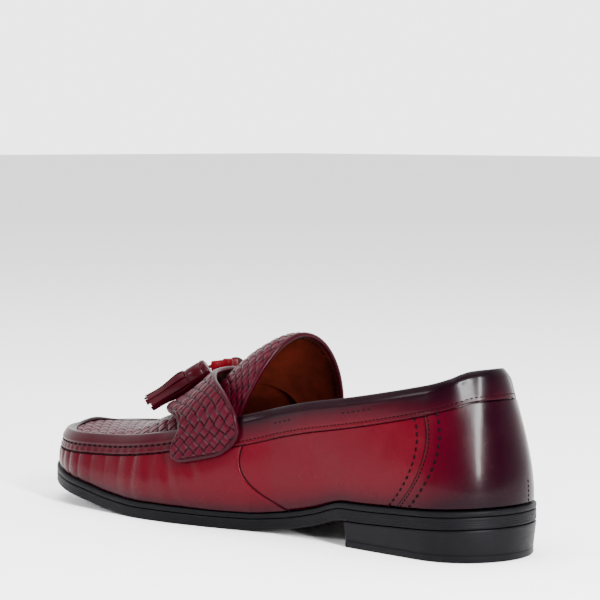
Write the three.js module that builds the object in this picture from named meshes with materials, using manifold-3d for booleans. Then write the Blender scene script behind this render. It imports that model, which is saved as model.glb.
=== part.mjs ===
// Tassel loafer, right shoe, in millimetres with +Z up.
// +X is the medial side, the toe points along -Y, and the sole rests on z = 0.
// Every curved piece is worked out from one surface of the last: its wall, which
// rises from the sole to the top edge, and the arch that spans the instep.
import * as THREE from 'three';
import { mergeVertices } from 'three/addons/utils/BufferGeometryUtils.js';
import Module from 'manifold-3d';

const wasm = await Module();
wasm.setup();

// Driving sizes of the sole and heel
const soleLength = 300;
const ballWidth = 101.4;
const soleThickness = 5.4;
const weltThickness = 2.5;
const weltWidth = 13;
const weltReveal = 2.6;
const soleBevel = 0.7;
const heelLength = 77;
const heelLift = 12.5;
const seatRise = 3.2;
const toeSpring = 12.4;
const heelTaper = 1.2;
const topLift = 3.2;
const liftGroove = 0.5;

// Driving sizes of the last and of the upper that is made on it
const heelHeight = 84;
const instepHeight = 94;
const topLean = 13;
const bellyOut = 5;
const leanPower = 1.5;
const upperWall = 1.9;
const featherTurn = 8;
const footRound = 0.8;
const insoleThickness = 2.4;
const insoleEase = 2.2;
const insoleLift = 0.9;
const insoleBevel = 1;
const seamStep = 0.5;
const seamRun = 0.8;

// Driving sizes of the overlays, straps and tassels
const clearance = 0.3;
const footEase = 0.45;
const collarDepth = 12;
const collarInside = 9;
const collarLeather = 1.1;
const rimDepth = 8;
const rimLeather = 1.2;
const rimRoll = 3.4;
const bandSink = 0.9;
const bandRound = 1.2;
const edgeSkive = 0.3;
const foldCrown = 1.3;
const plugWall = 1.8;
const plugSink = 2;
const plugShort = 0.5;
const plugFullness = 0.82;
const plugTail = 0.25;
const weavePitch = 7;
const weaveRaise = 0.6;
const weaveShoulder = 0.8;
const strapLift = 1.25;
const strapThickness = 2;
const strapCells = { across: 6, along: 26 };
const earDrop = 15;
const tongueWall = 2;
const tongueCells = { across: 12, along: 7 };
const tongueInset = { medial: 6.8, lateral: 5.2 };
const tongueTuck = 8;
const tongueEase = 2;
const tasselLength = 37;
const tasselCap = 13;
const capRadius = 5.2;
const fringeRadius = 7;
const fringeStrips = 7;
const fringeStrip = 1.3;
const fringeTuck = 1;
const fringeStep = 1.1;
const fringeCore = 5;
const laceWidth = 5;
const laceLeather = 1.5;
const loopLength = 9;
const loopHeight = 4.6;
const laceEnd = 1.5;
const laceGap = 1.2;
const wrapOver = 0.8;
const knotRise = 4.5;
const tasselRise = { top: 6.8, end: 4.7 };

// Each row is one section of the sole, at a share of its length. medial and
// lateral are half widths as shares of the ball width. heel, seat and toe are the
// shares of heelLift, seatRise and toeSpring that lift the underside there.
const soleRows = [
  { at: 0.000, medial: 0.326, lateral: 0.322, heel: 1.00, seat: 1.00, toe: 0.00 },
  { at: 0.130, medial: 0.330, lateral: 0.326, heel: 1.00, seat: 0.42, toe: 0.00 },
  { at: 0.257, medial: 0.326, lateral: 0.338, heel: 1.00, seat: 0.00, toe: 0.00 },
  { at: 0.333, medial: 0.308, lateral: 0.352, heel: 0.56, seat: 0.00, toe: 0.00 },
  { at: 0.400, medial: 0.306, lateral: 0.376, heel: 0.23, seat: 0.00, toe: 0.00 },
  { at: 0.470, medial: 0.342, lateral: 0.424, heel: 0.04, seat: 0.00, toe: 0.00 },
  { at: 0.550, medial: 0.402, lateral: 0.478, heel: 0.00, seat: 0.00, toe: 0.00 },
  { at: 0.640, medial: 0.452, lateral: 0.524, heel: 0.00, seat: 0.00, toe: 0.00 },
  { at: 0.690, medial: 0.462, lateral: 0.532, heel: 0.00, seat: 0.00, toe: 0.00 },
  { at: 0.767, medial: 0.450, lateral: 0.510, heel: 0.00, seat: 0.00, toe: 0.12 },
  { at: 0.833, medial: 0.434, lateral: 0.474, heel: 0.00, seat: 0.00, toe: 0.36 },
  { at: 0.900, medial: 0.416, lateral: 0.430, heel: 0.00, seat: 0.00, toe: 0.60 },
  { at: 1.000, medial: 0.380, lateral: 0.385, heel: 0.00, seat: 0.00, toe: 1.00 },
];
const soleEnds = {
  heelRound: 0.107, heelPower: 2.2, toeRound: 0.173, toePower: 2.3, toeShift: 0.03, shiftFrom: 0.75,
};

// Each row is one section of the wall on one side. reveal, lean and belly are
// shares of weltReveal, topLean and bellyOut; rise is the height of the top edge as
// a share of heelHeight over the quarters.
const medialRows = [
  { at: 0.000, reveal: 0.75, lean: 0.86, belly: 0.14, rise: 1.000 },
  { at: 0.020, reveal: 0.75, lean: 0.96, belly: 0.14, rise: 0.991 },
  { at: 0.060, reveal: 0.70, lean: 0.72, belly: 0.18, rise: 0.955 },
  { at: 0.157, reveal: 0.60, lean: 0.18, belly: 0.24, rise: 0.876 },
  { at: 0.257, reveal: 0.55, lean: -0.14, belly: 0.36, rise: 0.806 },
  { at: 0.347, reveal: 0.45, lean: -0.44, belly: 0.74, rise: 0.750 },
  { at: 0.465, reveal: 0.40, lean: -0.48, belly: 1.00, rise: 0.650 },
  { at: 0.550, reveal: 0.60, lean: -0.12, belly: 0.80, rise: 0.572 },
  { at: 0.653, reveal: 0.85, lean: 0.20, belly: 0.40, rise: 0.492 },
  { at: 0.780, reveal: 0.95, lean: 0.20, belly: 0.25, rise: 0.440 },
  { at: 0.893, reveal: 1.00, lean: 0.16, belly: 0.20, rise: 0.424 },
  { at: 1.000, reveal: 1.00, lean: 0.14, belly: 0.20, rise: 0.424 },
];
const lateralRows = [
  { at: 0.000, reveal: 0.75, lean: 0.86, belly: 0.14, rise: 1.000 },
  { at: 0.020, reveal: 0.75, lean: 0.96, belly: 0.14, rise: 0.990 },
  { at: 0.060, reveal: 0.70, lean: 0.72, belly: 0.18, rise: 0.948 },
  { at: 0.157, reveal: 0.70, lean: 0.22, belly: 0.24, rise: 0.850 },
  { at: 0.257, reveal: 0.80, lean: 0.02, belly: 0.30, rise: 0.765 },
  { at: 0.347, reveal: 0.90, lean: -0.04, belly: 0.36, rise: 0.705 },
  { at: 0.465, reveal: 1.00, lean: -0.02, belly: 0.40, rise: 0.620 },
  { at: 0.550, reveal: 1.00, lean: 0.12, belly: 0.38, rise: 0.555 },
  { at: 0.653, reveal: 1.10, lean: 0.26, belly: 0.34, rise: 0.488 },
  { at: 0.780, reveal: 1.05, lean: 0.24, belly: 0.25, rise: 0.440 },
  { at: 0.893, reveal: 1.00, lean: 0.16, belly: 0.20, rise: 0.424 },
  { at: 1.000, reveal: 1.00, lean: 0.14, belly: 0.20, rise: 0.424 },
];

// Each row is one section of the instep. crown is its height as a share of
// instepHeight, and fullness shapes the arch from side to side.
const instepRows = [
  { at: 0.440, crown: 1.005, fullness: 0.50 },
  { at: 0.470, crown: 1.000, fullness: 0.50 },
  { at: 0.520, crown: 0.940, fullness: 0.50 },
  { at: 0.560, crown: 0.856, fullness: 0.52 },
  { at: 0.593, crown: 0.770, fullness: 0.56 },
  { at: 0.650, crown: 0.652, fullness: 0.64 },
  { at: 0.717, crown: 0.545, fullness: 0.76 },
  { at: 0.790, crown: 0.462, fullness: 0.85 },
  { at: 0.883, crown: 0.424, fullness: 0.90 },
  { at: 1.000, crown: 0.410, fullness: 0.90 },
];

// The saddle strap from its middle to the end of an ear. reach counts from the
// crown (0) to the top edge of the wall (1) and on down the ear; medial and lateral
// are its rear edge on that side, and front its other edge, as shares of the length.
const strapRows = [
  { reach: 0.00, medial: 0.596, lateral: 0.596, front: 0.710 },
  { reach: 0.30, medial: 0.575, lateral: 0.585, front: 0.695 },
  { reach: 0.60, medial: 0.535, lateral: 0.568, front: 0.662 },
  { reach: 0.85, medial: 0.482, lateral: 0.532, front: 0.620 },
  { reach: 1.00, medial: 0.464, lateral: 0.500, front: 0.600 },
  { reach: 1.12, medial: 0.468, lateral: 0.494, front: 0.600 },
  { reach: 1.21, medial: 0.488, lateral: 0.504, front: 0.592 },
  { reach: 1.27, medial: 0.520, lateral: 0.522, front: 0.572 },
];
const earReach = 0.27;

// The rolled rim's outer face from its lower edge up: below is a share of rimDepth
// and out of rimLeather. Its roll over the plug: reach is a share of rimRoll and
// lift of rimLeather.
const rimFaceRows = [
  { below: 1.00, out: -0.25 },
  { below: 0.84, out: 0.17 },
  { below: 0.52, out: -0.21 },
  { below: 0.25, out: 0.29 },
];
const rimRollRows = [
  { reach: 0.30, lift: 1.50 },
  { reach: 1.00, lift: 0.60 },
  { reach: 1.00, lift: 0.08 },
  { reach: 0.40, lift: 0.38 },
];

// A tassel's cap from its top: radius is a share of capRadius and along of tasselCap.
// fringe holds the shares that shape the strips below it.
const capRows = [
  { along: 0.00, radius: 0.00 },
  { along: 0.00, radius: 0.72 },
  { along: 0.11, radius: 1.00 },
  { along: 0.91, radius: 1.00 },
  { along: 1.00, radius: 0.80 },
  { along: 1.08, radius: 0.66 },
];
const fringe = { core: 0.62, fill: 0.92, neck: 0.62, root: 0.74, flat: 0.5, flatBy: 1.6 };
const lace = { wrap: 0.62, inner: 0.7, tilt: 0.3 };

// Places over the strap: along is a share of the sole's length, and reach counts
// from the crown as the strap's does
const knotPlace = { along: 0.617, reach: 0 };
const tasselTop = { along: 0.629, reach: 0.122 };
const tasselEnd = { along: 0.706, reach: 0.4 };

// Seam lines up the wall, as shares of the sole's length: each starts at the foot
// of the wall, is drawn towards its bend and ends at the top edge.
const counterSeam = { foot: 0.150, bend: 0.075, top: 0.105 };
const quarterSeam = { foot: 0.385, bend: 0.490, top: 0.465 };
const throat = { crown: 0.617, side: 0.572, flare: 1.2 };
const tongueBack = { crown: 0.455, medial: 0.515, lateral: 0.480, power: 2.5 };
const collarEnd = 0.500;
const rimEnd = 0.580;

const colours = {
  burgundy: 0x7e1a26, dark: 0x451019, woven: 0x86202c, black: 0x242226, tan: 0x6b3a26,
};

// Smooth value of one column of a table, with flats kept flat
function track(rows, column, at, key = 'at') {
  const last = rows.length - 1;
  if (at <= rows[0][key]) return rows[0][column];
  if (at >= rows[last][key]) return rows[last][column];
  const k = rows.findIndex((row, i) => i < last && at < rows[i + 1][key]);
  const slope = (i) => (rows[i + 1][column] - rows[i][column]) / (rows[i + 1][key] - rows[i][key]);
  const turn = (i) => {
    if (i === 0) return slope(0);
    if (i === last) return slope(last - 1);
    const before = slope(i - 1);
    const after = slope(i);
    return before * after <= 0 ? 0 : 2 * before * after / (before + after);
  };
  const span = rows[k + 1][key] - rows[k][key];
  const f = (at - rows[k][key]) / span;
  const a = rows[k][column];
  const b = rows[k + 1][column];
  return a * (1 + 2 * f) * (1 - f) ** 2 + turn(k) * span * f * (1 - f) ** 2
    + b * f * f * (3 - 2 * f) + turn(k + 1) * span * f * f * (f - 1);
}

const lerp = THREE.MathUtils.lerp;
const smooth = THREE.MathUtils.smoothstep;
const underside = (s) => heelLift * track(soleRows, 'heel', s / soleLength)
  + seatRise * track(soleRows, 'seat', s / soleLength)
  + toeSpring * track(soleRows, 'toe', s / soleLength);
const bed = (s) => underside(s) + soleThickness + clearance + weltThickness;

// Places go once round the shoe: turn 0 is the back of the heel, turns up to 1 run
// along the medial side to the toe, and turns down to -1 along the lateral side.
const wrap = (turn) => turn - 2 * Math.round(turn / 2);
const turnAt = (share) => Math.acos(1 - 2 * share) / Math.PI;
const alongAt = (turn) => soleLength * (1 - Math.cos(Math.PI * turn)) / 2;

function soleEdge(turn) {
  const t = wrap(turn);
  const s = alongAt(t);
  const share = s / soleLength;
  const { heelRound, heelPower, toeRound, toePower, toeShift, shiftFrom } = soleEnds;
  const heel = share < heelRound ? Math.sqrt(1 - (1 - share / heelRound) ** heelPower) : 1;
  const toe = share > 1 - toeRound
    ? Math.sqrt(Math.max(0, 1 - (1 - (1 - share) / toeRound) ** toePower)) : 1;
  const half = ballWidth * track(soleRows, t < 0 ? 'lateral' : 'medial', share) * heel * toe;
  const shift = ballWidth * toeShift * smooth(share, shiftFrom, 1);
  return new THREE.Vector2(Math.sign(t || 1) * half + shift, -s);
}

// The sole's outline moved outwards by out, square to itself in plan
function planAt(turn, out) {
  const step = 0.004;
  const along = soleEdge(turn + step).sub(soleEdge(turn - step)).normalize();
  return soleEdge(turn).add(new THREE.Vector2(-along.y, along.x).multiplyScalar(out));
}

const sideRows = (turn) => (wrap(turn) < 0 ? lateralRows : medialRows);
const sideValue = (turn, column) => {
  const share = alongAt(wrap(turn)) / soleLength;
  return track(sideRows(turn), column, share);
};
const topHeight = (turn) => heelHeight * sideValue(turn, 'rise');

// Makes the belly's curve 1 at its highest, a third of the way up
const bellyPeak = 27 / 4;

// A point of the last's wall; up runs from 0 at the sole to 1 at the top edge
function wallPoint(turn, up) {
  const rise = Math.max(up, 0);
  const bump = bellyPeak * rise * (1 - Math.min(rise, 1)) ** 2;
  const out = bellyOut * sideValue(turn, 'belly') * bump
    - topLean * sideValue(turn, 'lean') * rise ** leanPower
    - weltReveal * sideValue(turn, 'reveal');
  const plan = planAt(turn, out);
  const foot = bed(-planAt(turn, -weltReveal * sideValue(turn, 'reveal')).y) + footEase;
  return new THREE.Vector3(plan.x, plan.y, lerp(foot, topHeight(turn), up));
}

function wallNormal(turn, up) {
  const across = 0.006;
  const lift = 0.02;
  const along = wallPoint(turn + across, up).sub(wallPoint(turn - across, up));
  const rising = wallPoint(turn, up + lift).sub(wallPoint(turn, up - lift));
  return rising.cross(along).normalize();
}

const wallOut = (turn, up, out) => wallPoint(turn, up).addScaledVector(wallNormal(turn, up), out);
const wallLength = (turn) => topHeight(turn) - wallPoint(turn, 0).z;
const upAt = (turn, below) => 1 - below / wallLength(turn);

// Turn on one side at which the top edge lies at distance s from the heel's back
function edgeTurn(side, s) {
  let low = 0.2;
  let high = 1;
  for (let i = 0; i < 26; i += 1) {
    const mid = (low + high) / 2;
    if (-wallPoint(side * mid, 1).y < s) low = mid;
    else high = mid;
  }
  return side * low;
}

// A point of the instep: reach 0 is the crown, +-1 the top edge of each side, and
// beyond that it runs down the wall by the drop of a strap's ear. inset and tuck
// draw the arch inside the walls.
function instepPoint(s, reach, inset = 0, tuck = 0) {
  const side = reach < 0 ? -1 : 1;
  const turn = edgeTurn(side, s);
  const far = Math.abs(reach);
  if (far > 1) return wallPoint(turn, upAt(turn, earDrop * (far - 1) / earReach));
  const edge = wallPoint(turn, 1);
  const angle = far * Math.PI / 2;
  const crown = instepHeight * track(instepRows, 'crown', s / soleLength);
  const foot = edge.z - tuck;
  const power = 2 * track(instepRows, 'fullness', s / soleLength);
  return new THREE.Vector3((edge.x - side * inset) * Math.sin(angle), -s,
    foot + (crown - foot) * Math.max(Math.cos(angle), 0) ** power);
}

function instepOut(s, reach, out, inset = 0, tuck = 0) {
  const ds = 1;
  const dr = 0.02;
  const at = (a, b) => instepPoint(a, b, inset, tuck);
  const along = at(s + ds, reach).sub(at(s - ds, reach));
  const over = at(s, reach + dr).sub(at(s, reach - dr));
  return at(s, reach).addScaledVector(over.cross(along).normalize().negate(), out);
}

// A closed mesh from points and triangles, turned outwards
function solid(points, triangles) {
  let volume = 0;
  const cross = new THREE.Vector3();
  triangles.forEach(([a, b, c]) => {
    volume += points[a].dot(cross.crossVectors(points[b], points[c]));
  });
  const faces = volume < 0 ? triangles.map(([a, b, c]) => [a, c, b]) : triangles;
  const geometry = new THREE.BufferGeometry();
  geometry.setAttribute('position', new THREE.Float32BufferAttribute(points.flatMap((p) => p.toArray()), 3));
  geometry.setIndex(faces.flat());
  return geometry;
}

const quad = (a, b, c, d) => [[a, b, c], [a, c, d]];

// A tube of closed sections; it closes on itself or is capped with the flat outline
// of its sections, given in plan as cap
function sweep(sections, closed, cap = null) {
  const size = sections[0].length;
  const triangles = [];
  const count = sections.length;
  for (let i = 0; i < (closed ? count : count - 1); i += 1) {
    const next = (i + 1) % count;
    for (let j = 0; j < size; j += 1) {
      const k = (j + 1) % size;
      triangles.push(...quad(i * size + j, next * size + j, next * size + k, i * size + k));
    }
  }
  if (!closed) {
    const flat = THREE.ShapeUtils.triangulateShape(cap, []);
    const end = (count - 1) * size;
    const same = THREE.ShapeUtils.area(cap) > 0;
    flat.forEach(([a, b, c]) => {
      triangles.push(same ? [a, b, c] : [a, c, b]);
      triangles.push(same ? [end + a, end + c, end + b] : [end + a, end + b, end + c]);
    });
  }
  return solid(sections.flat(), triangles);
}

// Rings stacked from the lowest up. A ring runs from one end of the piece round to
// the same end, so that point k and the point as far from its end face each other.
function stack(rings) {
  const size = rings[0].length;
  const triangles = [];
  for (let i = 0; i < rings.length - 1; i += 1) {
    for (let j = 0; j < size; j += 1) {
      const k = (j + 1) % size;
      triangles.push(...quad(i * size + j, i * size + k, (i + 1) * size + k, (i + 1) * size + j));
    }
  }
  const top = (rings.length - 1) * size;
  for (let j = 0; j < size / 2 - 1; j += 1) {
    const far = size - 1 - j;
    triangles.push(...quad(far, far - 1, j + 1, j));
    triangles.push(...quad(top + j, top + j + 1, top + far - 1, top + far));
  }
  return solid(rings.flat(), triangles);
}

// A sheet given by a grid of outer and inner points, both rows by columns
function sheet(outer, inner, extra = { points: [], pads: new Map() }) {
  const rows = outer.length;
  const columns = outer[0].length;
  const at = (i, j) => i * columns + j;
  const under = rows * columns;
  const triangles = [];
  const points = [...outer.flat(), ...inner.flat(), ...extra.points];
  for (let i = 0; i < rows - 1; i += 1) {
    for (let j = 0; j < columns - 1; j += 1) {
      const ring = [at(i, j), at(i, j + 1), at(i + 1, j + 1), at(i + 1, j)];
      const pad = extra.pads.get(ring[0]);
      if (pad === undefined) {
        triangles.push(...quad(...ring));
      } else {
        const raised = [0, 1, 2, 3].map((k) => 2 * under + pad + k);
        triangles.push(...quad(...raised));
        ring.forEach((corner, k) => {
          const next = (k + 1) % 4;
          triangles.push(...quad(corner, ring[next], raised[next], raised[k]));
        });
      }
      triangles.push(...quad(...ring.map((k) => under + k).reverse()));
    }
  }
  const border = [];
  for (let j = 0; j < columns - 1; j += 1) border.push(at(0, j));
  for (let i = 0; i < rows - 1; i += 1) border.push(at(i, columns - 1));
  for (let j = columns - 1; j > 0; j -= 1) border.push(at(rows - 1, j));
  for (let i = rows - 1; i > 0; i -= 1) border.push(at(i, 0));
  border.forEach((a, k) => {
    const b = border[(k + 1) % border.length];
    triangles.push(...quad(a, under + a, under + b, b));
  });
  return solid(points, triangles);
}

// A woven sheet: every other cell of the grid is a raised strip with sloped
// shoulders. place(row, column, out) gives a point of the sheet's surface.
function wovenSheet(place, rows, columns, thickness) {
  const grid = (out) => Array.from({ length: rows + 1 }, (_, i) => (
    Array.from({ length: columns + 1 }, (__, j) => place(i, j, out))));
  const pads = new Map();
  const points = [];
  const edge = weaveShoulder / weavePitch;
  for (let i = 0; i < rows; i += 1) {
    for (let j = 0; j < columns; j += 1) {
      if ((i + j) % 2 === 0) {
        pads.set(i * (columns + 1) + j, points.length);
        points.push(place(i + edge, j + edge, weaveRaise), place(i + edge, j + 1 - edge, weaveRaise),
          place(i + 1 - edge, j + 1 - edge, weaveRaise), place(i + 1 - edge, j + edge, weaveRaise));
      }
    }
  }
  return sheet(grid(0), grid(-thickness), { points, pads });
}

function toManifold(geometry) {
  const merged = mergeVertices(geometry, 1e-4);
  return new wasm.Manifold(new wasm.Mesh({
    numProp: 3,
    vertProperties: new Float32Array(merged.attributes.position.array),
    triVerts: new Uint32Array(merged.index.array),
  }));
}

function fromManifold(body) {
  const mesh = body.getMesh();
  const geometry = new THREE.BufferGeometry();
  geometry.setAttribute('position', new THREE.BufferAttribute(mesh.vertProperties, 3));
  geometry.setIndex(new THREE.BufferAttribute(mesh.triVerts, 1));
  return geometry;
}

// Turns at even steps, the nearest on each side moved to the breast of the heel
const breastTurn = turnAt(heelLength / soleLength);
const turnsRound = (count) => Array.from({ length: 2 * count }, (_, k) => (
  k < count ? (k + 0.5) / count : -(2 * count - k - 0.5) / count))
  .map((turn) => (Math.abs(Math.abs(turn) - breastTurn) < 0.5 / count ? Math.sign(turn) * breastTurn : turn));

const soleRing = (turns, out, height) => turns.map((turn) => {
  const plan = planAt(turn, out);
  return new THREE.Vector3(plan.x, plan.y, height(-plan.y));
});

function outsole() {
  const turns = turnsRound(33);
  const top = (s) => underside(s) + soleThickness;
  const groove = clearance + soleBevel;
  return stack([
    soleRing(turns, -soleBevel, underside),
    soleRing(turns, 0, (s) => underside(s) + soleBevel),
    soleRing(turns, 0, (s) => top(s) - soleBevel),
    soleRing(turns, -groove, top),
  ]);
}

// The welt is a ring round the edge of the sole; the upper stands on it
function welt() {
  const turns = turnsRound(33);
  const low = (s) => underside(s) + soleThickness + clearance;
  const place = (turn, out, height) => soleRing([turn], out, height)[0];
  return sweep(turns.map((turn) => [
    place(turn, -weltWidth, low),
    place(turn, -soleBevel, low),
    place(turn, 0, (s) => low(s) + soleBevel),
    place(turn, 0, (s) => bed(s) - soleBevel),
    place(turn, -soleBevel, bed),
    place(turn, -weltWidth, bed),
  ]), true);
}

function heel() {
  const count = 15;
  const turns = Array.from({ length: 2 * count }, (_, k) => (
    k < count ? breastTurn * (1 - k / count) : -breastTurn * (k - count + 1) / count));
  const ring = (out, height) => soleRing(turns, out, height);
  const flat = (z) => () => z;
  return stack([
    ring(-heelTaper - soleBevel, flat(0)),
    ring(-heelTaper, flat(soleBevel)),
    ring(-heelTaper, flat(topLift)),
    ring(-heelTaper - liftGroove, flat(topLift + liftGroove)),
    ring(-heelTaper, flat(topLift + 2 * liftGroove)),
    ring(0, (s) => underside(s) - clearance - soleBevel),
    ring(-soleBevel, (s) => underside(s) - clearance),
  ]);
}

// The board inside, laid on the turned-in foot of the upper
function insole() {
  const turns = turnsRound(24);
  const out = (turn) => -weltReveal * sideValue(turn, 'reveal') - upperWall - insoleEase;
  const ring = (more, lift) => turns.map((turn) => {
    const plan = planAt(turn, out(turn) - more);
    return new THREE.Vector3(plan.x, plan.y, bed(-plan.y) + footEase + upperWall + insoleLift + lift);
  });
  return stack([ring(0, 0), ring(0, insoleThickness - insoleBevel), ring(insoleBevel, insoleThickness)]);
}

// Stations round the upper, close together on both sides of each seam line so that
// the wall can step there
function upperStations() {
  const share = ({ foot, bend, top }, up) => foot * (1 - up) ** 2 + 2 * bend * up * (1 - up) + top * up * up;
  const line = (seam, up) => turnAt(share(seam, THREE.MathUtils.clamp(up, 0, 1)));
  const run = (up, seam) => turnAt(alongAt(line(seam, up)) / soleLength + seamRun / soleLength);
  const spread = (from, to, count) => Array.from({ length: count }, (_, k) => (
    (up) => lerp(from(up), to(up), k / count)));
  const half = [
    ...spread(() => 0, (up) => line(counterSeam, up), 8).map((at) => ({ at, out: seamStep })),
    { at: (up) => line(counterSeam, up), out: seamStep },
    ...spread((up) => run(up, counterSeam), (up) => line(quarterSeam, up), 11).map((at) => ({ at, out: 0 })),
    { at: (up) => line(quarterSeam, up), out: 0 },
    ...spread((up) => run(up, quarterSeam), () => turnAt(collarEnd), 2).map((at) => ({ at, out: seamStep })),
    ...spread(() => turnAt(collarEnd), () => turnAt(rimEnd), 2).map((at) => ({ at, out: seamStep })),
    ...spread(() => turnAt(rimEnd), () => 1, 13).map((at) => ({ at, out: seamStep })),
  ];
  const other = half.slice(1).reverse().map(({ at, out }) => ({ at: (up) => -at(up), out }));
  return [...half, { at: () => 1, out: seamStep }, ...other];
}

// How far below the top edge the overlay reaches: the collar band over the
// quarters, and the rolled rim round the toe
const bandDepth = (turn) => lerp(collarDepth, rimDepth,
  smooth(alongAt(wrap(turn)) / soleLength, collarEnd, rimEnd));

function upper() {
  const shares = [0.02, 0.08, 0.22, 0.42, 0.66, 1];
  return sweep(upperStations().map(({ at, out }) => {
    const foot = at(0);
    const lowest = wallPoint(foot, 0);
    const inward = (distance, lift) => {
      const plan = planAt(foot, -weltReveal * sideValue(foot, 'reveal') - distance);
      return new THREE.Vector3(plan.x, plan.y, bed(-plan.y) + footEase + lift);
    };
    const section = [inward(featherTurn, 0), inward(footRound, 0)];
    const below = (turn) => upAt(turn, bandDepth(turn) + 3 * clearance);
    shares.forEach((share) => {
      const turn = at(share * below(at(share)));
      section.push(wallOut(turn, share * below(turn), out));
    });
    const edge = at(1);
    section.push(wallOut(edge, upAt(edge, bandDepth(edge) + clearance), -bandSink));
    section.push(wallOut(edge, 1, -bandSink));
    section.push(wallOut(edge, 1, -upperWall));
    [0.82, 0.5, 0.16].forEach((up) => section.push(wallOut(at(up), up, -upperWall)));
    const corner = inward(upperWall + clearance, upperWall);
    corner.z = lowest.z + upperWall;
    section.push(corner, inward(featherTurn, upperWall));
    return section;
  }), true);
}

const plugFront = -wallPoint(1, 1).y - plugShort;

// Distance from the heel's back at which the plug meets the tongue, across the foot
const throatAt = (x) => soleLength * lerp(throat.crown, throat.side,
  Math.min(throat.flare * (2 * x / ballWidth) ** 2, 1));

// A strip folded over the top edge: its outer leg lies in the wall's step, and its
// inner leg lies over what the edge holds
function foldedBand(from, to, leather, outer, innerLeg) {
  const stations = upperStations().map(({ at }) => at(1));
  const nearly = 1e-6;
  const onward = stations.map((turn) => (turn < from - nearly ? turn + 2 : turn)).sort((a, b) => a - b);
  const turns = onward.filter((turn) => turn > from - nearly && turn < to + nearly);
  const face = clearance - bandSink;
  const sections = turns.map((turn) => {
    const legs = outer.map(({ below, out }) => wallOut(turn, upAt(turn, below), face + leather + out));
    const back = outer.map(({ below }) => wallOut(turn, upAt(turn, below), face)).reverse();
    const lift = new THREE.Vector3(0, 0, 1);
    const near = wallOut(turn, 1, face).addScaledVector(lift, clearance);
    const far = wallOut(turn, 1, -upperWall - clearance).addScaledVector(lift, clearance);
    const crest = wallOut(turn, 1, -(upperWall + bandSink) / 2);
    crest.addScaledVector(lift, clearance + leather * foldCrown);
    return [...legs, crest, ...innerLeg(turn, far), near, ...back].reverse();
  });
  const flat = sections[0].map((p) => {
    const away = p.clone().sub(wallPoint(from, 1));
    const plan = wallNormal(from, 1);
    return new THREE.Vector2(away.dot(new THREE.Vector3(plan.x, plan.y, 0).normalize()), away.z);
  });
  return sweep(sections, false, flat);
}

function collarBand() {
  const reach = turnAt(collarEnd);
  const outer = [
    { below: collarDepth, out: -edgeSkive },
    { below: collarDepth - bandRound, out: 0 },
    { below: bandRound, out: 0 },
  ];
  return foldedBand(-reach, reach, collarLeather, outer, (turn, far) => {
    const behind = -upperWall - clearance;
    return [
      wallOut(turn, upAt(turn, bandRound), behind - collarLeather),
      wallOut(turn, upAt(turn, collarInside), behind - collarLeather),
      wallOut(turn, upAt(turn, collarInside), behind),
      far,
    ];
  });
}

function apronRim() {
  const start = turnAt(rimEnd);
  const outer = rimFaceRows.map(({ below, out }) => ({ below: below * rimDepth, out: out * rimLeather }));
  return foldedBand(start, 2 - start, rimLeather, outer, (turn, far) => {
    const inward = wallNormal(turn, 1).setZ(0).normalize().negate();
    const held = upperWall + clearance;
    const at = (distance, lift) => {
      const point = wallPoint(turn, 1).addScaledVector(inward, distance);
      return point.setZ(plugTop(point.x, -point.y) + weaveRaise + clearance + lift);
    };
    const slope = at(held + 1, 0).z - at(held, 0).z;
    const roll = rimRoll / Math.hypot(1, slope);
    return [
      ...rimRollRows.map(({ reach, lift }) => at(held + roll * reach, rimLeather * lift)),
      far.setZ(Math.max(far.z, at(held, clearance).z)),
    ];
  });
}

// Height of the plug's face, a dome between the top edges of the two sides
function plugTop(x, s) {
  const at = Math.min(s, plugFront);
  const side = x < 0 ? -1 : 1;
  const edge = wallPoint(edgeTurn(side, at), 1);
  const inside = 1 - (x / (Math.abs(edge.x) - upperWall - clearance)) ** 2;
  const crown = instepHeight * track(instepRows, 'crown', at / soleLength);
  const power = Math.max(track(instepRows, 'fullness', at / soleLength), plugFullness);
  const rise = Math.sign(inside) * Math.abs(Math.max(inside, -plugTail)) ** power;
  return edge.z - plugSink + (crown - edge.z) * rise;
}

// The woven plug: a domed woven sheet cut to the outline inside the rim
function apron() {
  const half = ballWidth / 2;
  const rear = throat.side * soleLength - weavePitch / 2;
  const rows = Math.ceil((plugFront + weavePitch / 2 - rear) / weavePitch);
  const columns = Math.ceil(2 * half / weavePitch);
  const woven = wovenSheet((i, j, out) => {
    const x = -half + j * weavePitch;
    const s = rear + i * weavePitch;
    return new THREE.Vector3(x, -s, plugTop(x, s) + out);
  }, rows, columns, plugWall);
  const inside = -upperWall - clearance;
  const start = turnAt(throat.side);
  const outline = [];
  const count = 30;
  for (let k = 0; k <= count; k += 1) {
    const point = wallOut(lerp(start, 2 - start, k / count), 1, inside);
    outline.push(new THREE.Vector2(point.x, Math.min(point.y, -throatAt(point.x))));
  }
  const [right, left] = [outline[0].x, outline[count].x];
  for (let k = 1; k < 8; k += 1) {
    const x = lerp(left, right, k / 8);
    outline.push(new THREE.Vector2(x, -throatAt(x)));
  }
  const outside = new THREE.Shape(outline);
  const cutter = new THREE.ExtrudeGeometry(outside, { depth: instepHeight, bevelEnabled: false });
  return fromManifold(toManifold(woven).intersect(toManifold(bare(cutter))));
}

// The tongue rises out of the throat inside the quarters and stands free behind
function tongue() {
  return wovenSheet((i, j, out) => {
    const reach = lerp(-1, 1, j / tongueCells.across);
    const side = reach < 0 ? tongueBack.lateral : tongueBack.medial;
    const back = soleLength * lerp(tongueBack.crown, side, Math.abs(reach) ** tongueBack.power);
    const inset = reach < 0 ? tongueInset.lateral : tongueInset.medial;
    const x = (ballWidth / 2 - inset) * Math.sin(reach * Math.PI / 2);
    const front = throatAt(x) - tongueEase;
    const s = lerp(back, front, i / tongueCells.along);
    return instepOut(s, reach, out - weaveRaise - clearance, inset, tongueTuck);
  }, tongueCells.along, tongueCells.across, tongueWall);
}

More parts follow.
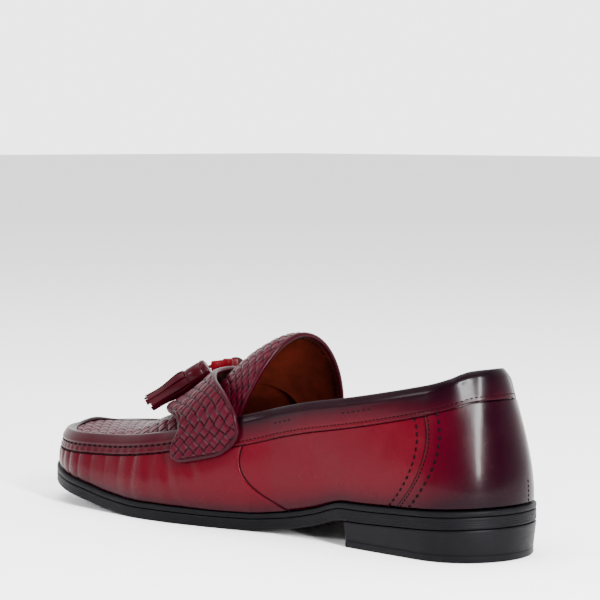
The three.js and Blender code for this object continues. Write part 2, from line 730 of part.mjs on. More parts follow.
// The saddle strap lies over the instep and ends in a rounded ear on each wall
function saddleStrap() {
  const reachEnd = 1 + earReach;
  return wovenSheet((i, j, out) => {
    const reach = lerp(-reachEnd, reachEnd, i / strapCells.along);
    const far = Math.abs(reach);
    const rear = soleLength * track(strapRows, reach < 0 ? 'lateral' : 'medial', far, 'reach');
    const front = soleLength * track(strapRows, 'front', far, 'reach');
    return instepOut(lerp(rear, front, j / strapCells.across), reach, out + strapLift + strapThickness);
  }, strapCells.along, strapCells.across, strapThickness);
}

// Tassels: a rolled cap and flat strips fused round a core, along +Z downwards
function tasselShape() {
  const sides = 10;
  const profile = [
    ...capRows.map(({ along, radius }) => new THREE.Vector2(radius * capRadius, along * tasselCap)),
    new THREE.Vector2(fringe.core * fringeRadius, tasselLength - fringeCore),
    new THREE.Vector2(0, tasselLength - fringeCore),
  ];
  let body = toManifold(bare(new THREE.LatheGeometry(profile, sides)).rotateX(Math.PI / 2));
  const strip = fringe.fill * fringeRadius * 2 * Math.PI / fringeStrips;
  for (let k = 0; k < fringeStrips; k += 1) {
    const reach = tasselLength - tasselCap + fringeTuck - (k % 3) * fringeStep;
    const piece = bare(new THREE.BoxGeometry(strip, fringeStrip, reach, 1, 1, 1));
    const place = piece.attributes.position;
    for (let i = 0; i < place.count; i += 1) {
      const low = place.getZ(i) > 0;
      place.setX(i, place.getX(i) * (low ? 1 : fringe.neck));
      place.setY(i, place.getY(i) + (low ? fringeRadius - fringeStrip / 2 : fringe.root * capRadius));
      place.setZ(i, place.getZ(i) + reach / 2 + tasselCap - fringeTuck);
    }
    piece.rotateZ(2 * Math.PI * (k + 0.5) / fringeStrips);
    body = body.add(toManifold(piece));
  }
  const shape = fromManifold(body);
  const point = shape.attributes.position;
  for (let i = 0; i < point.count; i += 1) {
    const flat = lerp(1, fringe.flat, smooth(point.getZ(i), tasselCap, fringe.flatBy * tasselCap));
    point.setY(i, point.getY(i) * flat);
  }
  return shape;
}

function bare(geometry) {
  geometry.deleteAttribute('normal');
  geometry.deleteAttribute('uv');
  return geometry;
}

// A point so far above the woven face of the strap
const overStrap = ({ along, reach }, side, rise) => (
  instepOut(along * soleLength, side * reach, strapLift + strapThickness + weaveRaise + rise));
const knotMiddle = overStrap(knotPlace, 1, knotRise);

// Where a tassel hangs on its side of the crest, and the way it points
function tasselLine(side) {
  const top = overStrap(tasselTop, side, tasselRise.top);
  const end = overStrap(tasselEnd, side, tasselRise.end);
  return { top, down: end.sub(top).normalize() };
}

// The knot of flat lace on the crest of the strap: a wrapped middle, two loops and
// the two ends that run to the tassels
function laceKnot() {
  const loop = new THREE.Shape();
  loop.absellipse(0, 0, loopLength / 2, loopHeight / 2, 0, 2 * Math.PI);
  const hole = new THREE.Path();
  const [inLength, inHeight] = [loopLength - 2 * laceLeather, loopHeight - 2 * lace.inner * laceLeather];
  hole.absellipse(0, 0, inLength / 2, inHeight / 2, 0, 2 * Math.PI);
  loop.holes.push(hole);
  const ring = () => bare(new THREE.ExtrudeGeometry(loop,
    { depth: laceWidth, bevelEnabled: false, curveSegments: 8 })).translate(0, 0, -laceWidth / 2);
  const round = lace.wrap * loopHeight;
  const wrap = bare(new THREE.CylinderGeometry(round, round, laceWidth + 2 * wrapOver, 10));
  let body = toManifold(wrap.rotateX(Math.PI / 2));
  [-1, 1].forEach((side) => {
    body = body.add(toManifold(ring().translate(side * loopLength / 2, 0, 0).rotateZ(-side * lace.tilt)));
  });
  [-1, 1].forEach((side) => {
    const { top, down } = tasselLine(side);
    const tip = top.addScaledVector(down, -laceGap).sub(knotMiddle);
    const arm = bare(new THREE.CylinderGeometry(laceEnd, laceEnd, tip.length(), 8));
    arm.translate(0, tip.length() / 2, 0);
    const turned = new THREE.Quaternion().setFromUnitVectors(new THREE.Vector3(0, 1, 0), tip.normalize());
    body = body.add(toManifold(arm.applyQuaternion(turned)));
  });
  return fromManifold(body);
}

const group = new THREE.Group();
const finish = (color, roughness) => new THREE.MeshStandardMaterial({ color, roughness, metalness: 0 });
const middle = (() => {
  const box = new THREE.Box3();
  soleRing(turnsRound(60), 0, underside).forEach((p) => box.expandByPoint(p));
  return box.getCenter(new THREE.Vector3());
})();

group.position.set(-middle.x, -middle.y, 0);

function add(name, geometry, color, roughness) {
  const mesh = new THREE.Mesh(geometry, finish(color, roughness));
  mesh.name = name;
  group.add(mesh);
  return mesh;
}

add('outsole', outsole(), colours.black, 0.55);
add('welt', welt(), colours.black, 0.5);
add('heel', heel(), colours.black, 0.5);
add('insole', insole(), colours.tan, 0.7);
add('upper', upper(), colours.burgundy, 0.3);
add('collar_band', collarBand(), colours.dark, 0.35);
add('apron_rim', apronRim(), colours.dark, 0.35);
add('apron', apron(), colours.woven, 0.3);
add('tongue', tongue(), colours.woven, 0.35);
add('saddle_strap', saddleStrap(), colours.woven, 0.3);

// Each tassel lies down the front of the strap, out to its own side
[['tassel_medial', 1], ['tassel_lateral', -1]].forEach(([name, side]) => {
  const mesh = add(name, tasselShape(), colours.dark, 0.4);
  const { top, down } = tasselLine(side);
  const width = new THREE.Vector3(0, 0, 1).cross(down).normalize();
  mesh.position.copy(top);
  const turned = new THREE.Matrix4().makeBasis(width, down.clone().cross(width), down);
  mesh.quaternion.setFromRotationMatrix(turned);
});

const knot = add('tassel_lace', laceKnot(), colours.burgundy, 0.35);
knot.position.copy(knotMiddle);

export default group;
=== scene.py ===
"""A burgundy tassel loafer, right shoe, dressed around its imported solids.

Lengths are millimetres on the last, with s counted from the back of the heel
towards the toe, and become metres in the frame when a mesh is made.
"""
from __future__ import annotations

import logging
import math
from dataclasses import dataclass, field
from enum import Enum
from typing import Callable, Sequence

import bmesh
import bpy
import numpy as np
from mathutils import Matrix, Vector


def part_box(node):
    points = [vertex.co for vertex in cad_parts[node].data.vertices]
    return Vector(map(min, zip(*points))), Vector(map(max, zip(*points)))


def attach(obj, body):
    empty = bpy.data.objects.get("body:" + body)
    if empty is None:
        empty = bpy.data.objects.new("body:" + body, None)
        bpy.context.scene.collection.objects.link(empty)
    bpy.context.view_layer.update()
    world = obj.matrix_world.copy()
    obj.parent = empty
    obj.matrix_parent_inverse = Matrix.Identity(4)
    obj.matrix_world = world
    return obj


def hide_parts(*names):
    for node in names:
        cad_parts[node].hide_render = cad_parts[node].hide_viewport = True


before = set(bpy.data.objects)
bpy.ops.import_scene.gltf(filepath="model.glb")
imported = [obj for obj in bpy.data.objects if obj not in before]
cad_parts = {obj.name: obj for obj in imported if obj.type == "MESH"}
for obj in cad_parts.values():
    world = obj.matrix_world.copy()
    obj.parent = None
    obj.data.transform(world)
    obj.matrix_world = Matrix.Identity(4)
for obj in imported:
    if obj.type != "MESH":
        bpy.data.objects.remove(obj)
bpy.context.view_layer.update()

LOG = logging.getLogger("loafer")
MM = 0.001
BODY = "root"
PLACE_MAP = "Place"
# Points closer than this many metres become one
MERGE = 2e-6
# Way along the top edge for each unit of turn, as a share of the sole's length
ARC_SHARE = 0.94
Array = np.ndarray


def lerp(a: float | Array, b: float | Array, share: float | Array) -> float | Array:
    """The value at that share of the way from a to b."""
    return a + (b - a) * share


def smooth(value: float | Array, low: float, high: float) -> Array:
    """0 below low, 1 above high, and an even S between them."""
    share = np.clip((np.asarray(value, float) - low) / (high - low), 0, 1)
    return share * share * (3 - 2 * share)


def unit(vectors: Array) -> Array:
    """The vectors made one long."""
    return vectors / np.maximum(np.linalg.norm(vectors, axis=-1, keepdims=True), 1e-9)


class Table:
    """Sections of the shoe as rows of named columns, read with a smooth curve."""

    def __init__(self, names: str, *rows: Sequence[float]) -> None:
        """Keeps the rows.

        Args:
            names: the columns' names; the first column is where each row stands.
            rows: one row for each section.
        """
        self.names = names.split()
        self.rows = np.array(rows, float)

    def value(self, column: str, at: float | Array) -> Array:
        """Reads one column between its rows, with flats kept flat.

        Args:
            column: the column's name.
            at: the places, in the first column's own terms.

        Returns:
            The column's value at each place.
        """
        x, y = self.rows[:, 0], self.rows[:, self.names.index(column)]
        slope = np.diff(y) / np.diff(x)
        before, after = slope[:-1], slope[1:]
        same = before * after > 0
        inner = np.where(same, 2 * before * after / np.where(same, before + after, 1), 0)
        turn = np.concatenate(([slope[0]], inner, [slope[-1]]))
        place = np.clip(at, x[0], x[-1])
        k = np.clip(np.searchsorted(x, place, side="right") - 1, 0, len(x) - 2)
        span = x[k + 1] - x[k]
        f = (place - x[k]) / span
        return (y[k] * (1 + 2 * f) * (1 - f) ** 2 + turn[k] * span * f * (1 - f) ** 2
                + y[k + 1] * f * f * (3 - 2 * f) + turn[k + 1] * span * f * f * (f - 1))


@dataclass(frozen=True)
class Seam:
    """A line up the wall, as shares of the sole's length: foot, bend and top."""

    foot: float
    bend: float
    top: float

    def share(self, up: float | Array) -> Array:
        """Where the line stands at each height of the wall."""
        rise = np.clip(up, 0, 1)
        return self.foot * (1 - rise) ** 2 + 2 * self.bend * rise * (1 - rise) + self.top * rise ** 2


@dataclass
class Last:
    """The form that the shoe is made on: its sizes, and its wall, sole and instep."""

    length: float = 300.0
    ball: float = 101.4
    sole: float = 5.4
    welt: float = 2.5
    reveal: float = 2.6
    heel_length: float = 77.0
    heel_lift: float = 12.5
    seat_rise: float = 3.2
    toe_spring: float = 12.4
    heel_height: float = 84.0
    instep: float = 94.0
    lean: float = 13.0
    belly: float = 5.0
    lean_power: float = 1.5
    wall: float = 1.9
    clearance: float = 0.3
    foot_ease: float = 0.45
    ear_drop: float = 15.0
    ear_reach: float = 0.27
    plug_short: float = 0.5
    plug_sink: float = 2.0
    plug_fullness: float = 0.82
    plug_tail: float = 0.25
    heel_round: float = 0.107
    heel_power: float = 2.2
    toe_round: float = 0.173
    toe_power: float = 2.3
    toe_shift: float = 0.03
    shift_from: float = 0.75
    sole_rows: Table = field(default_factory=lambda: Table(
        "at medial lateral heel seat toe",
        (0.000, 0.326, 0.322, 1.00, 1.00, 0.00),
        (0.130, 0.330, 0.326, 1.00, 0.42, 0.00),
        (0.257, 0.326, 0.338, 1.00, 0.00, 0.00),
        (0.333, 0.308, 0.352, 0.56, 0.00, 0.00),
        (0.400, 0.306, 0.376, 0.23, 0.00, 0.00),
        (0.470, 0.342, 0.424, 0.04, 0.00, 0.00),
        (0.550, 0.402, 0.478, 0.00, 0.00, 0.00),
        (0.640, 0.452, 0.524, 0.00, 0.00, 0.00),
        (0.690, 0.462, 0.532, 0.00, 0.00, 0.00),
        (0.767, 0.450, 0.510, 0.00, 0.00, 0.12),
        (0.833, 0.434, 0.474, 0.00, 0.00, 0.36),
        (0.900, 0.416, 0.430, 0.00, 0.00, 0.60),
        (1.000, 0.380, 0.385, 0.00, 0.00, 1.00)))
    medial_rows: Table = field(default_factory=lambda: Table(
        "at reveal lean belly rise",
        (0.000, 0.75, 0.86, 0.14, 1.000),
        (0.020, 0.75, 0.96, 0.14, 0.991),
        (0.060, 0.70, 0.72, 0.18, 0.955),
        (0.157, 0.60, 0.18, 0.24, 0.876),
        (0.257, 0.55, -0.14, 0.36, 0.806),
        (0.347, 0.45, -0.44, 0.74, 0.750),
        (0.465, 0.40, -0.48, 1.00, 0.650),
        (0.550, 0.60, -0.12, 0.80, 0.572),
        (0.653, 0.85, 0.20, 0.40, 0.492),
        (0.780, 0.95, 0.20, 0.25, 0.440),
        (0.893, 1.00, 0.16, 0.20, 0.424),
        (1.000, 1.00, 0.14, 0.20, 0.424)))
    lateral_rows: Table = field(default_factory=lambda: Table(
        "at reveal lean belly rise",
        (0.000, 0.75, 0.86, 0.14, 1.000),
        (0.020, 0.75, 0.96, 0.14, 0.990),
        (0.060, 0.70, 0.72, 0.18, 0.948),
        (0.157, 0.70, 0.22, 0.24, 0.850),
        (0.257, 0.80, 0.02, 0.30, 0.765),
        (0.347, 0.90, -0.04, 0.36, 0.705),
        (0.465, 1.00, -0.02, 0.40, 0.620),
        (0.550, 1.00, 0.12, 0.38, 0.555),
        (0.653, 1.10, 0.26, 0.34, 0.488),
        (0.780, 1.05, 0.24, 0.25, 0.440),
        (0.893, 1.00, 0.16, 0.20, 0.424),
        (1.000, 1.00, 0.14, 0.20, 0.424)))
    instep_rows: Table = field(default_factory=lambda: Table(
        "at crown fullness",
        (0.440, 1.005, 0.50),
        (0.470, 1.000, 0.50),
        (0.520, 0.940, 0.50),
        (0.560, 0.856, 0.52),
        (0.593, 0.770, 0.56),
        (0.650, 0.652, 0.64),
        (0.717, 0.545, 0.76),
        (0.790, 0.462, 0.85),
        (0.883, 0.424, 0.90),
        (1.000, 0.410, 0.90)))

    def __post_init__(self) -> None:
        turns = np.linspace(0.1, 1, 700)
        self.edges = {side: (-self.wall_point(side * turns, 1.0)[..., 1], turns) for side in (1, -1)}
        self.plug_front = float(self.edges[1][0][-1]) - self.plug_short
        outline = self.sole_edge(np.linspace(-1, 1, 480, endpoint=False))
        low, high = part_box("outsole")
        middle = (outline.min(0) + outline.max(0)) / 2
        self.offset = np.array([(low.x + high.x) / 2 - middle[0] * MM,
                                (low.y + high.y) / 2 - middle[1] * MM, 0.0])

    def metres(self, points: Array) -> Array:
        """Points of the last in the frame, in metres."""
        return np.asarray(points, float) * MM + self.offset

    def underside(self, s: Array) -> Array:
        """Height of the outsole's underside at each distance."""
        share = np.asarray(s) / self.length
        return (self.heel_lift * self.sole_rows.value("heel", share)
                + self.seat_rise * self.sole_rows.value("seat", share)
                + self.toe_spring * self.sole_rows.value("toe", share))

    def bed(self, s: Array) -> Array:
        """Height of the welt's upper face, which the upper stands on."""
        return self.underside(s) + self.sole + self.clearance + self.welt

    def along(self, turn: Array) -> Array:
        """Distance from the heel's back at each turn round the shoe."""
        return self.length * (1 - np.cos(np.pi * np.asarray(turn, float))) / 2

    @staticmethod
    def turn_at(share: float | Array) -> Array:
        """The turn on the medial side at a share of the length."""
        return np.arccos(1 - 2 * np.clip(share, 0, 1)) / np.pi

    @staticmethod
    def wrap(turn: Array) -> Array:
        """Turns from -1 (lateral side) through the heel at 0 to 1 (medial side)."""
        turn = np.asarray(turn, float)
        return turn - 2 * np.round(turn / 2)

    def sole_edge(self, turn: Array) -> Array:
        """The sole's outline in plan, at each turn."""
        t = self.wrap(turn)
        s = self.along(t)
        share = s / self.length
        heel = np.sqrt(1 - np.clip(1 - share / self.heel_round, 0, 1) ** self.heel_power)
        toe = np.sqrt(1 - np.clip(1 - (1 - share) / self.toe_round, 0, 1) ** self.toe_power)
        side = np.where(t < 0, self.sole_rows.value("lateral", share), self.sole_rows.value("medial", share))
        shift = self.ball * self.toe_shift * smooth(share, self.shift_from, 1)
        return np.stack([np.where(t < 0, -1, 1) * self.ball * side * heel * toe + shift, -s], -1)

    def plan(self, turn: Array, out: float | Array) -> Array:
        """The sole's outline moved outwards by out, square to itself."""
        step = 0.004
        ahead = unit(self.sole_edge(turn + step) - self.sole_edge(turn - step))
        outward = np.stack([-ahead[..., 1], ahead[..., 0]], -1)
        return self.sole_edge(turn) + outward * np.asarray(out)[..., None]

    def side(self, turn: Array, column: str) -> Array:
        """A column of the wall's tables on the side that each turn is on."""
        share = self.along(self.wrap(turn)) / self.length
        return np.where(self.wrap(turn) < 0, self.lateral_rows.value(column, share),
                        self.medial_rows.value(column, share))

    def wall_point(self, turn: Array, up: float | Array) -> Array:
        """A point of the wall; up runs from 0 at the sole to 1 at the top edge."""
        turn, up = np.broadcast_arrays(np.asarray(turn, float), np.asarray(up, float))
        rise = np.maximum(up, 0)
        bump = 27 / 4 * rise * (1 - np.minimum(rise, 1)) ** 2
        inset = self.reveal * self.side(turn, "reveal")
        out = (self.belly * self.side(turn, "belly") * bump
               - self.lean * self.side(turn, "lean") * rise ** self.lean_power - inset)
        plan = self.plan(turn, out)
        foot = self.bed(-self.plan(turn, -inset)[..., 1]) + self.foot_ease
        height = lerp(foot, self.heel_height * self.side(turn, "rise"), up)
        return np.concatenate([plan, height[..., None]], -1)

    def wall_normal(self, turn: Array, up: float | Array) -> Array:
        """The way out of the wall."""
        across, lift = 0.006, 0.02
        ahead = self.wall_point(turn + across, up) - self.wall_point(turn - across, up)
        rising = self.wall_point(turn, up + lift) - self.wall_point(turn, up - lift)
        return unit(np.cross(rising, ahead))

    def wall_out(self, turn: Array, up: float | Array, out: float | Array) -> Array:
        """A point so far outside the wall."""
        turn, up, out = np.broadcast_arrays(*(np.asarray(v, float) for v in (turn, up, out)))
        return self.wall_point(turn, up) + self.wall_normal(turn, up) * out[..., None]

    def wall_height(self, turn: Array) -> Array:
        """The wall's height from the welt to the top edge."""
        return self.heel_height * self.side(turn, "rise") - self.wall_point(turn, 0.0)[..., 2]

    def up_at(self, turn: Array, below: float | Array) -> Array:
        """The height share that lies so far below the top edge."""
        return 1 - below / self.wall_height(turn)

    def below_edge(self, turn: Array, below: float | Array, out: float | Array) -> Array:
        """A point so far below the top edge and so far outside the wall."""
        return self.wall_out(turn, self.up_at(turn, below), out)

    def edge_turn(self, side: Array, s: Array) -> Array:
        """The turn on a side where the top edge lies at distance s."""
        found = [np.interp(s, *self.edges[way]) for way in (1, -1)]
        return np.where(side < 0, -found[1], found[0])

    def instep_point(self, s: Array, reach: Array, inset: float | Array = 0.0, tuck: float = 0.0) -> Array:
        """A point of the instep's arch.

        Args:
            s: distance from the heel's back.
            reach: 0 at the crown, 1 at the medial top edge and -1 at the lateral
                one; past 1 it runs down the wall by the drop of the strap's ear.
            inset: how far the arch is drawn in from the walls.
            tuck: how far its feet are drawn down.

        Returns:
            The points.
        """
        s, reach, inset = np.broadcast_arrays(*(np.asarray(v, float) for v in (s, reach, inset)))
        side = np.where(reach < 0, -1, 1)
        far = np.abs(reach)
        turn = self.edge_turn(side, s)
        edge = self.wall_point(turn, 1.0)
        angle = np.minimum(far, 1) * np.pi / 2
        crown = self.instep * self.instep_rows.value("crown", s / self.length)
        foot = edge[..., 2] - tuck
        power = 2 * self.instep_rows.value("fullness", s / self.length)
        arch = np.stack([(edge[..., 0] - side * inset) * np.sin(angle), -s,
                         foot + (crown - foot) * np.maximum(np.cos(angle), 0) ** power], -1)
        drop = self.ear_drop * np.maximum(far - 1, 0) / self.ear_reach
        down = self.wall_point(turn, self.up_at(turn, drop))
        return np.where((far > 1)[..., None], down, arch)

    def instep_out(self, s: Array, reach: Array, out: float | Array,
                   inset: float | Array = 0.0, tuck: float = 0.0) -> Array:
        """A point so far above the instep's arch."""

        def at(far: Array, way: Array) -> Array:
            """The arch's point at a distance and a reach."""
            return self.instep_point(far, way, inset, tuck)

        ahead = at(s + 1, reach) - at(s - 1, reach)
        over = at(s, reach + 0.02) - at(s, reach - 0.02)
        return at(s, reach) - unit(np.cross(over, ahead)) * np.asarray(out)[..., None]

    def plug_top(self, x: Array, s: Array) -> Array:
        """Height of the apron's dome between the top edges of the two sides."""
        at = np.minimum(s, self.plug_front)
        edge = self.wall_point(self.edge_turn(np.where(x < 0, -1, 1), at), 1.0)
        inside = 1 - (x / (np.abs(edge[..., 0]) - self.wall - self.clearance)) ** 2
        crown = self.instep * self.instep_rows.value("crown", at / self.length)
        power = np.maximum(self.instep_rows.value("fullness", at / self.length), self.plug_fullness)
        rise = np.sign(inside) * np.abs(np.maximum(inside, -self.plug_tail)) ** power
        return edge[..., 2] - self.plug_sink + (crown - edge[..., 2]) * rise


class Form:
    """A mesh in the making: points on the last, faces, shading places and slots."""

    def __init__(self) -> None:
        """Starts empty."""
        self.points: list[Array] = []
        self.places: list[Array] = []
        self.faces: list[Array] = []
        self.slots: list[Array] = []
        self.count = 0

    def add(self, points: Array, faces: Array, places: Array | None = None, slot: int | Array = 0) -> None:
        """Adds points and faces that count from the first of them.

        Args:
            points: the points, in millimetres on the last.
            faces: rows of three or four indices.
            places: two numbers for each point that the finish reads.
            slot: the finish's slot, one for all or one for each face.
        """
        if len(faces) == 0:
            return
        self.points.append(points.reshape(-1, 3))
        total = len(self.points[-1])
        given = np.zeros((total, 2)) if places is None else np.asarray(places, float)
        self.places.append(given.reshape(-1, 2))
        self.faces.append(np.asarray(faces) + self.count)
        self.slots.append(np.broadcast_to(slot, (len(faces),)).astype(int))
        self.count += total

    def grid(self, points: Array, places: Array | None = None, slot: int | Array = 0,
             around: bool = False, across: bool = False) -> None:
        """Adds a net of points as four-sided faces.

        Args:
            points: rows by columns of points.
            places: rows by columns of two numbers that the finish reads.
            slot: one slot, or one for each column of faces.
            around: whether the last row joins the first.
            across: whether the last column joins the first.
        """
        rows, columns = points.shape[:2]
        index = np.arange(rows * columns).reshape(rows, columns)
        index = np.vstack([index, index[:1]]) if around else index
        index = np.hstack([index, index[:, :1]]) if across else index
        faces = np.stack([index[:-1, :-1], index[1:, :-1], index[1:, 1:], index[:-1, 1:]], -1)
        slots = np.broadcast_to(slot, faces.shape[:2]).reshape(-1)
        self.add(points, faces.reshape(-1, 4), places, slots)

    def slab(self, above: Array, below: Array, slot_below: int = 0) -> None:
        """Adds a sheet with two faces and closed sides, rows by columns of points.

        Args:
            above: the upper face's points.
            below: the lower face's points, as many.
            slot_below: the lower face's slot; the upper face and the sides have slot 0.
        """
        rows, columns = above.shape[:2]
        ring = np.concatenate([above, below[:, ::-1]], 1)
        slots = np.where(np.arange(2 * columns) < columns, 0, slot_below)
        self.grid(ring, slot=slots, across=True)
        self.grid(np.stack([above[0], below[0]]))
        self.grid(np.stack([above[-1], below[-1]]))

    def tube(self, sections: Array, places: Array | None = None) -> None:
        """Adds a closed tube through sections, with a point at the middle of each end."""
        count, size = sections.shape[:2]
        if places is None:
            places = np.zeros((count, size, 2))
        self.grid(sections, places, across=True)
        start = self.count - count * size
        ring = np.arange(size)
        after = (ring + 1) % size
        ends = ((0, start, ring, after), (-1, start + (count - 1) * size, after, ring))
        for end, first, one, other in ends:
            self.points.append(sections[end].mean(0)[None])
            self.places.append(places[end].mean(0)[None])
            self.faces.append(np.stack([one + first, other + first, np.full(size, self.count)], -1))
            self.slots.append(np.zeros(size, int))
            self.count += 1

    def cross(self, ring: Array, places: Array, count: int = 12) -> None:
        """Adds a cap across a ring whose point k faces the point as far from its end."""
        half = len(ring) // 2
        share = np.linspace(0, 1, count)[None, :, None]
        one, other = ring[:half, None], ring[::-1][:half, None]
        shade = lerp(places[:half, None], places[::-1][:half, None], share)
        self.grid(lerp(one, other, share), shade)

    def build(self, name: str, last: Last, finishes: Sequence[bpy.types.Material],
              flat_angle: float = 40.0) -> bpy.types.Object:
        """Makes the mesh object.

        Args:
            name: the piece's name.
            last: the form that turns millimetres into the frame's metres.
            finishes: the materials, in the order of the slots.
            flat_angle: faces that meet at more than this many degrees keep an edge.

        Returns:
            The object, at the origin.
        """
        mesh = bpy.data.meshes.new(name)
        faces = [face for group in self.faces for face in group.tolist()]
        mesh.from_pydata(last.metres(np.vstack(self.points)).tolist(), [], faces)
        places = np.vstack(self.places)
        corners = np.zeros(len(mesh.loops), int)
        mesh.loops.foreach_get("vertex_index", corners)
        layer = mesh.uv_layers.new(name=PLACE_MAP)
        layer.data.foreach_set("uv", places[corners].astype(np.float32).ravel())
        mesh.polygons.foreach_set("material_index", np.concatenate(self.slots).astype(np.int32))
        for finish in finishes:
            mesh.materials.append(finish)
        work = bmesh.new()
        work.from_mesh(mesh)
        bmesh.ops.remove_doubles(work, verts=work.verts, dist=MERGE)
        bmesh.ops.recalc_face_normals(work, faces=work.faces)
        for edge in work.edges:
            edge.smooth = len(edge.link_faces) == 2 and edge.calc_face_angle(0) < math.radians(flat_angle)
        for face in work.faces:
            face.smooth = True
        work.to_mesh(mesh)
        work.free()
        made = bpy.data.objects.new(name, mesh)
        bpy.context.scene.collection.objects.link(made)
        return made


def keep(piece: bpy.types.Object, slot: str, *nodes: str) -> bpy.types.Object:
    """Hands a finished piece to the frame.

    Args:
        piece: the object.
        slot: not used.
        nodes: the solids that it stands for.

    Returns:
        The same object.
    """
    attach(piece, BODY)
    if nodes:
        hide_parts(*nodes)
    LOG.info("%s: %d faces", piece.name, len(piece.data.polygons))
    return piece


@dataclass
class Patch:
    """A surface sampled once on a net, and read between its points."""

    a: Array
    b: Array
    points: Array
    normals: Array

    @classmethod
    def sample(cls, surface: Callable[[Array, Array], Array], a: Array, b: Array) -> "Patch":
        """Samples a surface.

        Args:
            surface: gives points for nets of a and b.
            a: the first coordinate's values, rising.
            b: the second coordinate's values, rising.

        Returns:
            The patch, with its normals up or outwards.
        """
        points = surface(*np.meshgrid(a, b, indexing="ij"))
        normals = unit(np.cross(np.gradient(points, a, axis=0), np.gradient(points, b, axis=1)))
        upwards = normals[normals.shape[0] // 2, normals.shape[1] // 2, 2]
        return cls(a, b, points, normals if upwards > 0 else -normals)

    def at(self, a: Array, b: Array, out: float | Array = 0.0) -> Array:
        """Points so far above the surface."""
        a, b, out = np.broadcast_arrays(*(np.asarray(v, float) for v in (a, b, out)))
        i = np.clip(np.searchsorted(self.a, a) - 1, 0, len(self.a) - 2)
        j = np.clip(np.searchsorted(self.b, b) - 1, 0, len(self.b) - 2)
        f = ((a - self.a[i]) / (self.a[i + 1] - self.a[i]))[..., None]
        g = ((b - self.b[j]) / (self.b[j + 1] - self.b[j]))[..., None]
        read = [lerp(lerp(v[i, j], v[i + 1, j], f), lerp(v[i, j + 1], v[i + 1, j + 1], f), g)
                for v in (self.points, self.normals)]
        return read[0] + unit(read[1]) * out[..., None]

    def span(self, along_a: bool) -> float:
        """The patch's length through its middle, one way or the other."""
        line = self.points[:, len(self.b) // 2] if along_a else self.points[len(self.a) // 2]
        return float(np.linalg.norm(np.diff(line, axis=0), axis=1).sum())


@dataclass(frozen=True)
class Plait:
    """A plain weave of flat leather strips laid slantwise, over one and under one."""

    pitch: float = 4.8
    strip: float = 1.0
    leather: float = 0.65
    wave: float = 0.6
    arch: float = 0.7
    steps: int = 6
    net: float = 1.0

    def weave(self, form: Form, flat: Callable[[Array, Array], Array], extent: Sequence[float],
              inside: Callable[[Array, Array], Array], base: float) -> None:
        """Adds the strips both ways, at 45 degrees to the sheet's own directions.

        Args:
            form: the mesh that takes them.
            flat: gives a point of the surface for each place on the sheet, in millimetres.
            extent: the lowest and highest place each way.
            inside: says which places lie inside the outline.
            base: height of the weave's middle over the surface.
        """
        corners = np.array([(p, q) for p in extent[:2] for q in extent[2:]])
        one, two = self.slant(corners[:, 0], corners[:, 1])
        lanes = [np.arange(math.floor(v.min() / self.pitch), math.ceil(v.max() / self.pitch) + 1) * self.pitch
                 for v in (one, two)]
        nets = [np.arange(v[0], v[-1] + self.net, self.net) for v in lanes]
        patch = Patch.sample(lambda u, w: flat(*self.slant(u, w)), *nets)
        for swap in (False, True):
            across, along = (lanes[1], lanes[0]) if swap else (lanes[0], lanes[1])
            for k in range(len(across) - 1):
                self._strip(form, patch, across[k:k + 2], along, k, inside, base, swap)

    @staticmethod
    def slant(one: Array, two: Array) -> tuple[Array, Array]:
        """Turns places by 45 degrees, and back again."""
        return (one + two) / math.sqrt(2), (one - two) / math.sqrt(2)

    def _strip(self, form: Form, patch: Patch, lane: Array, cells: Array, number: int,
               inside: Callable[[Array, Array], Array], base: float, swap: bool) -> None:
        """Adds one strip, cut where it meets the outline."""
        # The strip's section: a flat top with rounded edges, narrower below
        across = np.array([-1, -0.9, -0.5, 0.5, 0.9, 1, 0.6, -0.6])
        crown = np.array([0.5, 0.9, 1, 1, 0.9, 0.5, -0.1, -0.1]) * self.leather
        walk = np.linspace(0, len(cells) - 1, (len(cells) - 1) * self.steps + 1)
        way = np.interp(walk, np.arange(len(cells)), cells)
        side = lane.mean() + (lane[1] - lane[0]) / 2 * self.strip * across
        t, v = np.meshgrid(way, side, indexing="ij")
        shown = inside(*self.slant(*((t, v) if swap else (v, t))))
        if not shown.any(0).all():
            return
        first, final = way[shown.argmax(0)], way[len(way) - 1 - shown[::-1].argmax(0)]
        rows = (way >= first.min()) & (way <= final.max())
        t, v = np.clip(t[rows], first, final), v[rows]
        place = (t - cells[0]) / self.pitch
        cell = np.minimum(place.astype(int), len(cells) - 2)
        sign = np.where((number + cell) % 2 == (1 if swap else 0), 1.0, -1.0)
        wave = sign * np.abs(np.sin(np.pi * (place - cell))) ** self.arch
        height = base + self.wave * wave + crown - self.leather / 2
        # These two numbers carry the painted shade: how high the strip rides, dark where it dips, and how
        # near its edge
        places = np.stack(np.broadcast_arrays(0.5 + 0.5 * wave, np.abs(across)), -1)
        form.tube(patch.at(*((t, v) if swap else (v, t)), height), places)


def add_node(tree: bpy.types.NodeTree, kind: str, inputs: dict | None = None,
             stops: Sequence[tuple] = (), **settings: object) -> bpy.types.Node:
    """Adds a node with its settings and links.

    Args:
        tree: the tree that takes it.
        kind: the node's type.
        inputs: a value or a socket for each input, by name or number.
        stops: places and colours or values of a ramp.
        settings: the node's own settings.

    Returns:
        The node.
    """
    made = tree.nodes.new(kind)
    for name, value in settings.items():
        setattr(made, name, value)
    for key, value in (inputs or {}).items():
        if isinstance(value, bpy.types.NodeSocket):
            tree.links.new(value, made.inputs[key])
        else:
            made.inputs[key].default_value = value
    for k, (place, colour) in enumerate(stops):
        slots = made.color_ramp.elements
        stop = slots[k] if k < len(slots) else slots.new(place)
        stop.position, stop.color = place, colour
    return made


